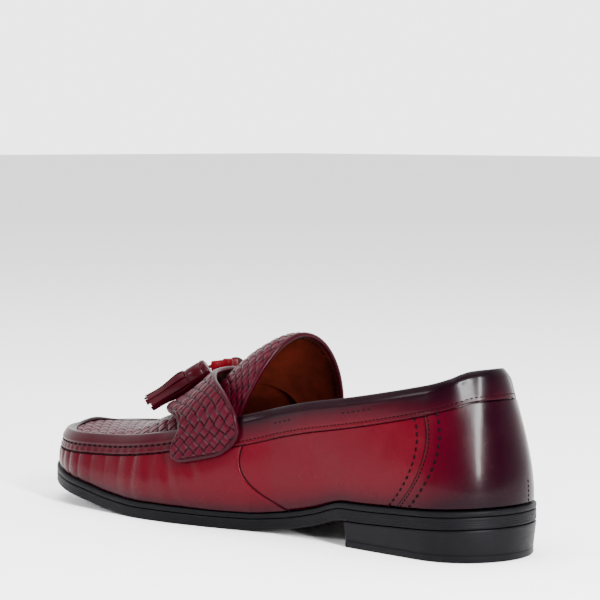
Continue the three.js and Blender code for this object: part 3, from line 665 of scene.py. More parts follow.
def linear(code: str) -> tuple[float, float, float, float]:
    """Turns an sRGB hex colour such as 7A1220 into linear values with alpha."""
    parts = [int(code[k:k + 2], 16) / 255 for k in (0, 2, 4)]
    return (*(c / 12.92 if c <= 0.04045 else ((c + 0.055) / 1.055) ** 2.4 for c in parts), 1.0)


def per(size_mm: float) -> float:
    """A texture's scale for features of that size, on coordinates in metres."""
    return 1 / (size_mm * MM)


class Darkening(Enum):
    """Where a leather's colour is darkened: burnish at the heel, toe and throat, darker towards the sole, and
    painted shade on the woven strips.
    """

    QUARTERS = "along the sole, the heel and the seams"
    BAND = "over the throat and at the heel"
    # Painted shade where the strips dip under each other and at their edges
    STRIP = "on the strips' edges and where they dip"
    EVEN = "in faint clouds"


@dataclass(frozen=True)
class Leather:
    """Box calf, aniline dyed, burnished by hand and glazed.

    The eye sees a deep clear red under a hard gloss that darkens to near black
    where the brush rubbed longest, and a grain too fine to read on its own.
    On the woven strips the darkening is painted shade, where they dip and at their edges.
    """

    name: str
    dark: str = "030103"
    deep: str = "110106"
    base: str = "2D010A"
    bright: str = "40020D"
    darkening: Darkening = Darkening.EVEN
    roughness: float = 0.24
    coat: float = 0.05
    coat_roughness: float = 0.12
    specular: float = 0.04
    grain: float = 0.7
    grain_depth: float = 0.018
    ripple: float = 9.0
    ripple_depth: float = 0.05

    def build(self) -> bpy.types.Material:
        """Makes the material."""
        material = bpy.data.materials.new(self.name)
        material.use_nodes = True
        tree = material.node_tree
        tree.nodes.clear()
        where = add_node(tree, "ShaderNodeTexCoord").outputs["Object"]
        cloud = add_node(tree, "ShaderNodeTexNoise", {
            "Vector": where, "Scale": per(22), "Detail": 4.0, "Roughness": 0.55}).outputs["Fac"]
        level = self._level(tree, where)
        mottled = add_node(tree, "ShaderNodeMath", {
            0: add_node(tree, "ShaderNodeMath", {0: cloud, 1: 0.5}, operation="SUBTRACT").outputs[0],
            1: 0.15, 2: level}, operation="MULTIPLY_ADD").outputs[0]
        colour = add_node(tree, "ShaderNodeValToRGB", {"Fac": mottled}, stops=(
            (0.0, linear(self.dark)), (0.92, linear(self.bright)),
            (0.3, linear(self.deep)), (0.62, linear(self.base)))).outputs["Color"]
        grain = add_node(tree, "ShaderNodeTexVoronoi", {
            "Vector": where, "Scale": per(self.grain), "Randomness": 1.0}).outputs["Distance"]
        waves = add_node(tree, "ShaderNodeTexNoise", {
            "Vector": where, "Scale": per(self.ripple), "Detail": 2.0}).outputs["Fac"]
        low = add_node(tree, "ShaderNodeBump", {
            "Strength": 1.0, "Distance": self.ripple_depth * MM, "Height": waves})
        fine = add_node(tree, "ShaderNodeBump", {
            "Strength": 1.0, "Distance": self.grain_depth * MM, "Height": grain, "Normal": low.outputs[0]})
        worn = add_node(tree, "ShaderNodeMapRange", {
            "Value": cloud, "From Min": 0.3, "From Max": 0.7,
            "To Min": self.roughness - 0.05, "To Max": self.roughness + 0.08}).outputs[0]
        shader = add_node(tree, "ShaderNodeBsdfPrincipled", {
            "Base Color": colour, "Roughness": worn, "Specular IOR Level": self.specular,
            "Coat Weight": self.coat, "Coat Roughness": self.coat_roughness, "Coat IOR": 1.5,
            "Normal": fine.outputs[0], "Coat Normal": low.outputs[0]})
        add_node(tree, "ShaderNodeOutputMaterial", {"Surface": shader.outputs[0]})
        return material

    def _level(self, tree: bpy.types.NodeTree, where: bpy.types.NodeSocket) -> bpy.types.NodeSocket:
        """How much of the dye shows, from 0 where it is darkest to 1: burnish at heel, toe and throat, darker
        towards the sole, painted shade on the woven strips.
        """
        if self.darkening is Darkening.EVEN:
            soft = add_node(tree, "ShaderNodeTexNoise", {"Vector": where, "Scale": per(30), "Detail": 2.0})
            return add_node(tree, "ShaderNodeMapRange", {
                "Value": soft.outputs["Fac"], "To Min": 0.42, "To Max": 0.72}).outputs[0]
        place = add_node(tree, "ShaderNodeUVMap", uv_map=PLACE_MAP).outputs[0]
        split = add_node(tree, "ShaderNodeSeparateXYZ", {0: place})
        first, second = DARKENING_STOPS[self.darkening]
        shades = []
        for socket, stops in ((split.outputs[0], first), (split.outputs[1], second)):
            shades.append(add_node(tree, "ShaderNodeValToRGB", {"Fac": socket}, stops=[
                (at, (value, value, value, 1.0)) for at, value in stops]).outputs["Color"])
        return add_node(tree, "ShaderNodeMath", {0: shades[0], 1: shades[1]}, operation="MULTIPLY").outputs[0]


# How much of the dye shows along the first and second number of a piece's place: burnish along the shoe,
# darker towards the sole, and painted shade on the woven strips
DARKENING_STOPS = {
    # The wall: burnish darkens the heel and the toe along the first number; along the second it is darker
    # towards the sole and a little darker under the band
    Darkening.QUARTERS: (
        ((0.0, 0.28), (1.0, 0.62), (0.03, 0.38), (0.07, 0.60), (0.12, 0.90), (0.17, 1.0),
         (0.42, 0.96), (0.60, 0.90), (0.80, 0.84), (0.94, 0.72)),
        ((0.0, 0.46), (1.0, 0.80), (0.07, 0.62), (0.17, 0.84), (0.32, 0.97), (0.62, 1.0), (0.86, 0.95))),
    Darkening.BAND: (
        ((0.0, 0.42), (1.0, 0.50), (0.05, 0.36), (0.12, 0.56), (0.22, 0.92), (0.30, 0.96),
         (0.40, 0.86), (0.50, 0.74), (0.62, 0.64)),
        ((0.0, 1.0), (1.0, 0.30), (0.35, 0.97), (0.62, 0.58), (0.80, 0.25))),
    # Painted shade on the woven strips: dark where a strip dips under its neighbour (first number) and
    # towards its edges (second)
    Darkening.STRIP: (
        ((0.0, 0.20), (1.0, 0.98), (0.5, 0.32), (0.68, 0.78)),
        ((0.0, 0.95), (1.0, 0.45), (0.7, 0.92), (0.9, 0.75))),
}


@dataclass(frozen=True)
class Matt:
    """A surface without burnish: rubber, lining leather, thread or the floor."""

    name: str
    colour: str
    shade: str
    roughness: float = 0.6
    specular: float = 0.08
    grain: float = 1.0
    grain_depth: float = 0.04
    stretch: tuple[float, float, float] = (1.0, 1.0, 1.0)

    def build(self) -> bpy.types.Material:
        """Makes the material."""
        material = bpy.data.materials.new(self.name)
        material.use_nodes = True
        tree = material.node_tree
        tree.nodes.clear()
        where = add_node(tree, "ShaderNodeTexCoord").outputs["Object"]
        turned = add_node(tree, "ShaderNodeMapping", {"Vector": where, "Scale": self.stretch}).outputs[0]
        cloud = add_node(tree, "ShaderNodeTexNoise", {
            "Vector": where, "Scale": per(14), "Detail": 5.0}).outputs["Fac"]
        colour = add_node(tree, "ShaderNodeValToRGB", {"Fac": cloud}, stops=(
            (0.3, linear(self.shade)), (0.7, linear(self.colour)))).outputs["Color"]
        grain = add_node(tree, "ShaderNodeTexNoise", {
            "Vector": turned, "Scale": per(self.grain), "Detail": 3.0}).outputs["Fac"]
        bump = add_node(tree, "ShaderNodeBump", {
            "Strength": 1.0, "Distance": self.grain_depth * MM, "Height": grain}).outputs[0]
        rough = add_node(tree, "ShaderNodeMapRange", {
            "Value": grain, "From Min": 0.3, "From Max": 0.7,
            "To Min": self.roughness - 0.06, "To Max": self.roughness + 0.06}).outputs[0]
        shader = add_node(tree, "ShaderNodeBsdfPrincipled", {
            "Base Color": colour, "Roughness": rough, "Specular IOR Level": self.specular, "Normal": bump})
        add_node(tree, "ShaderNodeOutputMaterial", {"Surface": shader.outputs[0]})
        return material


@dataclass
class Finishes:
    """All the shoe's finishes, built once."""

    def __post_init__(self) -> None:
        """Builds each material."""
        # Calf for the wall, burnished by hand: clear red with near black at the heel, and darker towards the
        # sole
        self.quarter = Leather("burnished_calf_quarters", darkening=Darkening.QUARTERS).build()
        # The same calf folded over the edge: darker at the throat, a softer gloss
        self.band = Leather("burnished_calf_binding", darkening=Darkening.BAND, roughness=0.30).build()
        # Strips cut from dyed calf and plaited: red on top, with painted shade darkening them to near black
        # where they dip and at their edges
        self.strip = Leather("plaited_calf_strips", darkening=Darkening.STRIP, base="24010A", bright="360210",
                             roughness=0.4, coat=0.03, ripple_depth=0.03).build()
        # Piping rolled from dyed calf: an even dark wine red
        self.plain = Leather("dyed_calf_trim", base="240108", bright="36020C", roughness=0.36,
                             coat=0.06).build()
        # Calf rolled and cut to a fringe: dark red with short waves from the rolling
        self.tassel = Leather("tassel_calf", deep="120206", base="2A0209", bright="44030F",
                              roughness=0.38, coat=0.06, ripple=4.0, ripple_depth=0.08).build()
        # Lace cut from glazed calf and worn dull: the clearest red on the shoe
        self.lace = Leather("glazed_red_lace", base="58030C", bright="740510", roughness=0.45, coat=0.0,
                            ripple=5.0).build()
        # Moulded rubber, dressed black: a dull skin with fine lines along the edge
        self.sole = Matt("moulded_sole_rubber", "0A090C", "060507", roughness=0.5, specular=0.05,
                         grain=0.9, grain_depth=0.03, stretch=(0.12, 0.12, 1.0)).build()
        self.heel = Matt("moulded_heel_rubber", "0A090C", "060507", roughness=0.44, specular=0.06,
                         grain=1.2, grain_depth=0.02, stretch=(0.2, 0.2, 1.0)).build()
        # Vegetable tanned lining, left undressed: brown, matt and lightly clouded
        self.lining = Matt("tanned_lining_leather", "5A1E12", "3A120A", roughness=0.6,
                           grain=0.8, grain_depth=0.06).build()
        # Split leather backing: a dull near black under the weave, painted shade that darkens the gaps
        # between the strips
        self.under = Matt("dark_backing_leather", "060203", "040102", roughness=0.8).build()
        # Waxed linen thread, twisted: nearly black, with a dull shine; the same finish draws the painted
        # shadow beside the upper's seams
        self.thread = Matt("waxed_linen_thread", "0A0204", "050102", roughness=0.55, specular=0.03, grain=0.4,
                           grain_depth=0.08).build()
        # Painted studio floor: pale, even and matt, so that only the shadow shows
        self.floor = Matt("pale_studio_floor", "FAFAFA", "F8F8F8", roughness=0.8, grain=3.0,
                          grain_depth=0.0).build()


class StitchTree:
    """A Geometry Nodes tree that lays stitches along the edges of a mesh."""

    def __init__(self) -> None:
        """Builds the tree with its named inputs."""
        tree = bpy.data.node_groups.new("Stitch row", "GeometryNodeTree")
        sides = tree.interface
        sides.new_socket("Geometry", in_out="INPUT", socket_type="NodeSocketGeometry")
        # The bead is one unit across, so its scale is the stitch's own length and thickness
        for name in ("Pitch", "Length", "Thickness"):
            sides.new_socket(name, in_out="INPUT", socket_type="NodeSocketFloat")
        sides.new_socket("Finish", in_out="INPUT", socket_type="NodeSocketMaterial")
        sides.new_socket("Geometry", in_out="OUTPUT", socket_type="NodeSocketGeometry")
        given = add_node(tree, "NodeGroupInput")
        line = add_node(tree, "GeometryNodeMeshToCurve", {"Mesh": given.outputs["Geometry"]})
        spaced = add_node(tree, "GeometryNodeResampleCurve", {
            "Curve": line.outputs[0], "Length": given.outputs["Pitch"]}, mode="LENGTH")
        bead = add_node(tree, "GeometryNodeMeshIcoSphere", {"Radius": 0.5, "Subdivisions": 2})
        tangent = add_node(tree, "GeometryNodeInputTangent")
        turned = add_node(tree, "FunctionNodeAlignEulerToVector", {"Vector": tangent.outputs[0]}, axis="X")
        size = add_node(tree, "ShaderNodeCombineXYZ", {
            0: given.outputs["Length"], 1: given.outputs["Thickness"], 2: given.outputs["Thickness"]})
        laid = add_node(tree, "GeometryNodeInstanceOnPoints", {
            "Points": spaced.outputs[0], "Instance": bead.outputs[0], "Rotation": turned.outputs[0],
            "Scale": size.outputs[0]})
        real = add_node(tree, "GeometryNodeRealizeInstances", {"Geometry": laid.outputs[0]})
        even = add_node(tree, "GeometryNodeSetShadeSmooth", {"Geometry": real.outputs[0]})
        dressed = add_node(tree, "GeometryNodeSetMaterial", {
            "Geometry": even.outputs[0], "Material": given.outputs["Finish"]})
        add_node(tree, "NodeGroupOutput", {0: dressed.outputs[0]})
        self.tree = tree

    def sew(self, name: str, last: Last, lines: Sequence[Array], finish: bpy.types.Material,
            pitch: float = 3.0, length: float = 2.2, thickness: float = 0.7) -> bpy.types.Object:
        """Lays stitches along lines and turns them into a plain mesh.

        Args:
            name: the piece's name.
            last: the form that turns millimetres into the frame's metres.
            lines: the seam lines, each rows of points.
            finish: the thread's material.
            pitch: from one stitch to the next.
            length: a stitch's length.
            thickness: the thread's thickness.

        Returns:
            The stitches as one object.
        """
        points = last.metres(np.vstack(lines))
        edges, start = [], 0
        for line in lines:
            edges += [(start + k, start + k + 1) for k in range(len(line) - 1)]
            start += len(line)
        mesh = bpy.data.meshes.new(name + "_line")
        mesh.from_pydata(points.tolist(), edges, [])
        row = bpy.data.objects.new(name + "_line", mesh)
        bpy.context.scene.collection.objects.link(row)
        laid = row.modifiers.new("stitches", "NODES")
        laid.node_group = self.tree
        values = {"Pitch": pitch * MM, "Length": length * MM, "Thickness": thickness * MM, "Finish": finish}
        for item in self.tree.interface.items_tree:
            if item.in_out == "INPUT" and item.name in values:
                laid[item.identifier] = values[item.name]
        graph = bpy.context.evaluated_depsgraph_get()
        graph.update()
        made = bpy.data.objects.new(name, bpy.data.meshes.new_from_object(row.evaluated_get(graph)))
        bpy.context.scene.collection.objects.link(made)
        row.modifiers.remove(laid)
        bpy.data.objects.remove(row)
        return made


@dataclass
class Bottom:
    """Outsole, welt and heel."""

    last: Last
    finishes: Finishes
    stations: int = 240
    bevel: float = 0.7
    welt_width: float = 13.0
    heel_taper: float = 1.2
    top_lift: float = 3.2
    groove: float = 0.3
    line_depth: float = 0.09
    line_width: float = 0.22
    line_count: int = 3
    line_steps: int = 31
    heel_stations: int = 90
    heel_levels: int = 9
    heel_flat_angle: float = 30.0

    def turns(self) -> Array:
        """Turns round the shoe, point k facing the point as far from the end."""
        half = (np.arange(self.stations) + 0.5) / self.stations
        return np.concatenate([half, -half[::-1]])

    def ring(self, turns: Array, out: float, height: Callable[[Array], Array]) -> Array:
        """The outline moved outwards by out, at a height that follows the sole."""
        plan = self.last.plan(turns, np.full_like(turns, out))
        return np.concatenate([plan, height(-plan[:, 1])[:, None]], -1)

    def solid(self, turns: Array, profile: Sequence[tuple[float, Callable]]) -> Form:
        """Stacks rings into a solid.

        Args:
            turns: the places round the shoe.
            profile: for each ring, how far out it lies and its height.

        Returns:
            The form, capped below and above.
        """
        rings = np.array([self.ring(turns, out, height) for out, height in profile])
        share = np.abs(rings[..., 1]) / self.last.length
        level = np.linspace(0, 1, len(profile))[:, None] + 0 * share
        places = np.stack([share, level], -1)
        form = Form()
        form.grid(rings, places, across=True)
        form.cross(rings[0], places[0])
        form.cross(rings[-1], places[-1])
        return form

    def edge_lines(self, low: float, high: float) -> list[tuple[float, float]]:
        """Heights and depths of a side that has fine wheeled lines."""
        heights = np.linspace(low, high, self.line_steps)
        lines = np.linspace(low, high, self.line_count + 2)[1:-1]
        depth = sum(np.exp(-((heights - line) / self.line_width) ** 2) for line in lines)
        return [(float(h), float(-self.line_depth * d)) for h, d in zip(heights, depth)]

    def outsole(self) -> bpy.types.Object:
        """The sole, with fine lines along its edge."""
        under, top = self.last.underside, self.last.sole
        side = self.edge_lines(self.bevel, top - self.bevel)
        profile = [(-self.bevel * 1.6, under), (-self.bevel * 0.5, lambda s: under(s) + self.bevel * 0.2)]
        profile += [(out, lambda s, h=h: under(s) + h) for h, out in side]
        profile += [(-self.bevel * 0.4, lambda s: under(s) + top - self.bevel * 0.2),
                    (-self.bevel - self.last.clearance, lambda s: under(s) + top)]
        return keep(self.solid(self.turns(), profile).build("sole_edge", self.last, [self.finishes.sole]),
                    "sole_rubber", "outsole")

    def welt(self) -> bpy.types.Object:
        """The welt, rounded at its edge, with a shallow line before the upper."""
        last, thick = self.last, self.last.welt

        def low(s: Array) -> Array:
            """Height of the welt's lower face."""
            return last.underside(s) + last.sole + last.clearance

        outline = [(-self.welt_width, 0.0), (-0.7, 0.0), (-0.2, 0.15), (0.0, 0.6), (0.0, thick - 0.8),
                   (-0.15, thick - 0.3), (-0.6, thick - 0.04), (-1.0, thick), (-1.3, thick - 0.18),
                   (-1.6, thick), (-3.5, thick), (-self.welt_width, thick)]
        sections = np.array([self.ring(self.turns(), out, lambda s, h=h: low(s) + h) for out, h in outline])
        form = Form()
        form.grid(sections.transpose(1, 0, 2), around=True, across=True)
        return keep(form.build("welt_edge", last, [self.finishes.sole]), "welt_leather", "welt")

    def heel(self) -> bpy.types.Object:
        """The heel block with its top lift."""
        last = self.last
        breast = float(last.turn_at(last.heel_length / last.length))
        half = np.linspace(breast, 0.004, self.heel_stations)
        out, lift, groove = -self.heel_taper, self.top_lift, self.groove
        start = lift + groove + 0.2

        def flat(z: float) -> Callable[[Array], Array]:
            """An even height."""
            return lambda s: np.full_like(s, z)

        def under(drop: float) -> Callable[[Array], Array]:
            """A height so far under the sole."""
            return lambda s: last.underside(s) - last.clearance - drop

        profile = [(out - 0.7, flat(0.0)), (out - 0.2, flat(0.2)), (out, flat(0.7)), (out, flat(lift - 0.15)),
                   (out - groove * 0.7, flat(lift)), (out - groove * 0.7, flat(lift + groove)),
                   (out, flat(start))]
        profile += [(lerp(out, 0.0, level), lambda s, k=level: lerp(flat(start)(s), under(0.7)(s), k))
                    for level in np.linspace(0.15, 0.95, self.heel_levels)]
        profile += [(0.0, under(0.6)), (-0.15, under(0.2)), (-0.7, under(0.0))]
        block = self.solid(np.concatenate([half, -half[::-1]]), profile)
        return keep(block.build("heel_block", last, [self.finishes.heel], self.heel_flat_angle),
                    "sole_rubber", "heel")

    def build(self) -> None:
        """Makes the three pieces."""
        self.outsole()
        self.welt()
        self.heel()


@dataclass(frozen=True)
class Crease:
    """A soft fold pressed into the wall by wear, set in the shoe's own shares."""

    side: int
    share: float
    up: float
    length: float
    width: float
    depth: float
    tilt: float

    def relief(self, turn: Array, s: Array, up: Array, height: Array) -> Array:
        """How far out the wall lies here, a trough with a ridge on each side.

        Args:
            turn: the places round the shoe, whose sign is the side.
            s: their distances from the heel's back.
            up: their heights as shares of the wall's.
            height: the wall's height there.

        Returns:
            The relief in millimetres.
        """
        away = s - self.share
        rise = (up - self.up) * height
        along = away * math.sin(self.tilt) + rise * math.cos(self.tilt)
        across = away * math.cos(self.tilt) - rise * math.sin(self.tilt)
        ring = (across / self.width) ** 2
        shape = (1 - ring) * np.exp(-ring) * np.exp(-(along / self.length) ** 2)
        return np.where(np.sign(turn) == self.side, -self.depth * shape, 0)


@dataclass
class UpperShell:
    """The hollow wall of vamp, quarters and counter, with its seams."""

    last: Last
    finishes: Finishes
    stitches: StitchTree
    step: float = 0.8
    feather: float = 8.0
    collar_depth: float = 12.0
    rim_depth: float = 8.0
    collar_end: float = 0.5
    rim_end: float = 0.58
    band_sink: float = 0.9
    pleat_pitch: float = 8.6
    pleat_depth: float = 0.5
    pleat_crisp: float = 4.0
    pleat_reach: float = 11.0
    counter_stations: int = 40
    quarter_stations: int = 110
    toe_stations: int = 170
    # Across a seam: how far from its line, and the share of the step left there
    edge: tuple[tuple[float, float], ...] = (
        (-1.4, 1.0), (-0.7, 0.97), (-0.25, 0.8), (-0.05, 0.45), (0.08, 0.06), (0.3, -0.12), (0.9, 0.0))
    counter: Seam = Seam(0.150, 0.075, 0.105)
    quarter: Seam = Seam(0.385, 0.490, 0.465)
    creases: tuple[Crease, ...] = (
        Crease(1, 172.0, 0.62, 13.0, 3.6, 0.35, 0.5), Crease(1, 186.0, 0.50, 15.0, 4.0, 0.40, 0.35),
        Crease(1, 200.0, 0.58, 11.0, 3.2, 0.30, 0.15), Crease(1, 212.0, 0.45, 12.0, 3.6, 0.26, 0.0),
        Crease(1, 31.0, 0.60, 10.0, 5.0, 0.30, 0.4), Crease(1, 22.0, 0.42, 14.0, 6.0, 0.22, -0.5),
        Crease(1, 52.0, 0.55, 18.0, 6.0, 0.22, -0.4), Crease(1, 92.0, 0.40, 20.0, 9.0, 0.25, 0.9),
        Crease(-1, 176.0, 0.60, 13.0, 3.6, 0.35, 0.5), Crease(-1, 192.0, 0.50, 15.0, 4.0, 0.40, 0.3),
        Crease(-1, 206.0, 0.56, 11.0, 3.2, 0.30, 0.1), Crease(-1, 60.0, 0.50, 18.0, 7.0, 0.22, -0.4),
    )

    def band_depth(self, turn: Array) -> Array:
        """How far below the top edge the overlay reaches."""
        share = self.last.along(self.last.wrap(turn)) / self.last.length
        return lerp(self.collar_depth, self.rim_depth, smooth(share, self.collar_end, self.rim_end))

    def stations(self, up: Array) -> tuple[Array, Array]:
        """Turns round the shoe at each height, close together across the seams.

        Args:
            up: the heights.

        Returns:
            Turns, stations by heights, and each station's step outwards.
        """
        borders, outs, counts = [np.zeros_like(up)], [1.0], []
        for seam, flip, count in ((self.counter, False, self.counter_stations),
                                  (self.quarter, True, self.quarter_stations)):
            line = seam.share(up) * self.last.length
            for k, (away, out) in enumerate(self.edge[::-1] if flip else self.edge):
                borders.append(self.last.turn_at((line + (-away if flip else away)) / self.last.length))
                outs.append(out)
                counts.append(count if k == 0 else 1)
        borders.append(np.ones_like(up))
        outs.append(1.0)
        counts.append(self.toe_stations)
        turns, steps = [], []
        for k, count in enumerate(counts):
            for share in np.arange(count) / count:
                turns.append(lerp(borders[k], borders[k + 1], share))
                steps.append(lerp(outs[k], outs[k + 1], share))
        turns, steps = np.array(turns), np.array(steps) * self.step
        return (np.vstack([turns, borders[-1][None], -turns[:0:-1]]),
                np.concatenate([steps, [self.step], steps[:0:-1]]))

    def relief(self, turn: Array, up: Array) -> Array:
        """Pleats under the rim, and the creases of wear."""
        s = self.last.along(turn)
        height = self.last.wall_height(turn)
        below = (1 - up) * height - self.band_depth(turn)
        arc = np.abs(turn) * self.last.length * ARC_SHARE
        # Slow waves shift the pleats and change how far down they run, so that none is like the next
        wave = np.cos(2 * np.pi * arc / self.pleat_pitch + 1.3 * np.sin(arc / 17) + 0.6 * np.sin(arc / 7.3))
        reach = self.pleat_reach * (1 + 0.45 * np.sin(arc / 11.0) + 0.25 * np.sin(arc / 4.7))
        fade = np.exp(-np.maximum(below, 0) / reach) * smooth(s / self.last.length, 0.60, 0.68)
        pinch = 0.35 * np.maximum(wave, 0) - np.maximum(-wave, 0) ** self.pleat_crisp
        out = self.pleat_depth * pinch * fade
        return out + sum(crease.relief(turn, s, up, height) for crease in self.creases)

    def shell(self) -> bpy.types.Object:
        """The wall, from the turned-in foot to the recess under the bands."""
        last = self.last
        shares = np.concatenate([[0.02, 0.05], np.linspace(0.09, 1, 34)])
        outer_turn, steps = self.stations(shares)
        step = steps[:, None]
        below = last.up_at(outer_turn, self.band_depth(outer_turn) + 3 * last.clearance)
        up = shares[None] * below
        outer = last.wall_out(outer_turn, up, step + self.relief(outer_turn, up))
        edge, foot = (self.stations(height)[0][:, 0] for height in (np.ones(1), np.zeros(1)))

        def inward(distance: float, lift: float) -> Array:
            """A line so far inside the foot of the wall."""
            plan = last.plan(foot, -last.reveal * last.side(foot, "reveal") - distance)
            return np.concatenate([plan, (last.bed(-plan[:, 1]) + last.foot_ease + lift)[:, None]], -1)

        inner_up = np.array([0.93, 0.8, 0.65, 0.5, 0.35, 0.2, 0.1])
        inner_turn, _ = self.stations(inner_up)
        inner = last.wall_out(inner_turn, inner_up[None], -last.wall)
        sink = last.below_edge(edge, self.band_depth(edge) + last.clearance, -self.band_sink)
        lips = np.stack([sink, last.wall_out(edge, 1.0, -self.band_sink),
                         last.wall_out(edge, 1.0, -last.wall)], 1)
        feet = np.stack([inward(self.feather, 0), inward(0.8, 0)], 1)
        back = np.stack([inward(last.wall + 0.3, last.wall + 0.3), inward(self.feather, last.wall)], 1)
        net = np.concatenate([feet, outer, lips, inner, back], 1)
        share = last.along(foot)[:, None] / last.length + np.zeros(net.shape[1])
        share[:, 2:2 + len(shares)] = last.along(outer_turn) / last.length
        level = np.concatenate([[0, 0], shares * 0.9, [1, 1, 1], inner_up, [0, 0]])[None] + 0 * share
        # The lining starts at the wall's inner edge
        slots = np.zeros(net.shape[1], int)
        slots[2 + len(shares) + 2:] = 1
        form = Form()
        form.grid(net, np.stack([share, level], -1), slots, around=True, across=True)
        made = form.build("upper_shell", last, [self.finishes.quarter, self.finishes.lining])
        return keep(made, "upper_leather", "upper")

    def line_beside(self, seam: Seam, side: int, away: float, low: float, out: float) -> Array:
        """A stitch line beside a seam, from height low up to the band."""
        up = np.linspace(low, 1.0, 60)
        turn = side * self.last.turn_at((seam.share(up) * self.last.length + away) / self.last.length)
        below = self.last.up_at(turn, self.band_depth(turn) + 3 * self.last.clearance)
        height = up * below
        return self.last.wall_out(turn, height, out + self.relief(turn, height))

    def sew(self) -> None:
        """The counter's three rows, near-black cords beside both seams as painted shadow of their edges, and
        the short seam at the back.
        """
        last, thread = self.last, self.finishes.thread
        # Name, seam, way beside it, lowest height, way out, then pitch, length and thickness
        rows = (
            ("counter_edge_stitches", self.counter, -1.7, 0.03, self.step, 2.0, 1.5, 0.65),
            ("counter_front_stitches", self.counter, 5.4, 0.03, 0.0, 3.3, 2.2, 1.0),
            ("counter_back_stitches", self.counter, -7.2, 0.03, self.step, 3.6, 2.3, 1.25),
            # Near-black cords beside each seam's edge, sewn from thread beads: painted shadow of the edge's
            # step
            ("counter_edge_painted_shadow", self.counter, 0.15, 0.0, 0.02, 0.9, 1.6, 0.7),
            ("quarter_edge_painted_shadow", self.quarter, -0.15, 0.0, 0.02, 0.9, 1.6, 0.7))
        for name, seam, away, low, out, *size in rows:
            lines = [self.line_beside(seam, side, away, low, out) for side in (1, -1)]
            keep(self.stitches.sew(name, last, lines, thread, *size), "upper_leather")
        up = np.linspace(0.03, 0.17, 12)
        line = last.wall_out(np.full_like(up, -0.045), up, self.step)
        keep(self.stitches.sew("back_stitches", last, [line], thread, 2.0, 1.5, 0.55), "upper_leather")

    def build(self) -> None:
        """Makes the wall and its stitches."""
        self.shell()
        self.sew()


def through(points: Array, samples: int) -> Array:
    """A smooth line through points, for many stations at once.

    Args:
        points: stations by points by three.
        samples: how many samples each stretch between two points gets.

    Returns:
        Stations by samples by three, ending on the last point.
    """
    before = 2 * points[:, :1] - points[:, 1:2]
    after = 2 * points[:, -1:] - points[:, -2:-1]
    padded = np.concatenate([before, points, after], 1)
    out = []
    for k in range(points.shape[1] - 1):
        p0, p1, p2, p3 = (padded[:, k + j] for j in range(4))
        for t in np.arange(samples) / samples:
            out.append(0.5 * (2 * p1 + (p2 - p0) * t + (2 * p0 - 5 * p1 + 4 * p2 - p3) * t * t
                              + (3 * p1 - p0 - 3 * p2 + p3) * t ** 3))
    out.append(points[:, -1])
    return np.stack(out, 1)


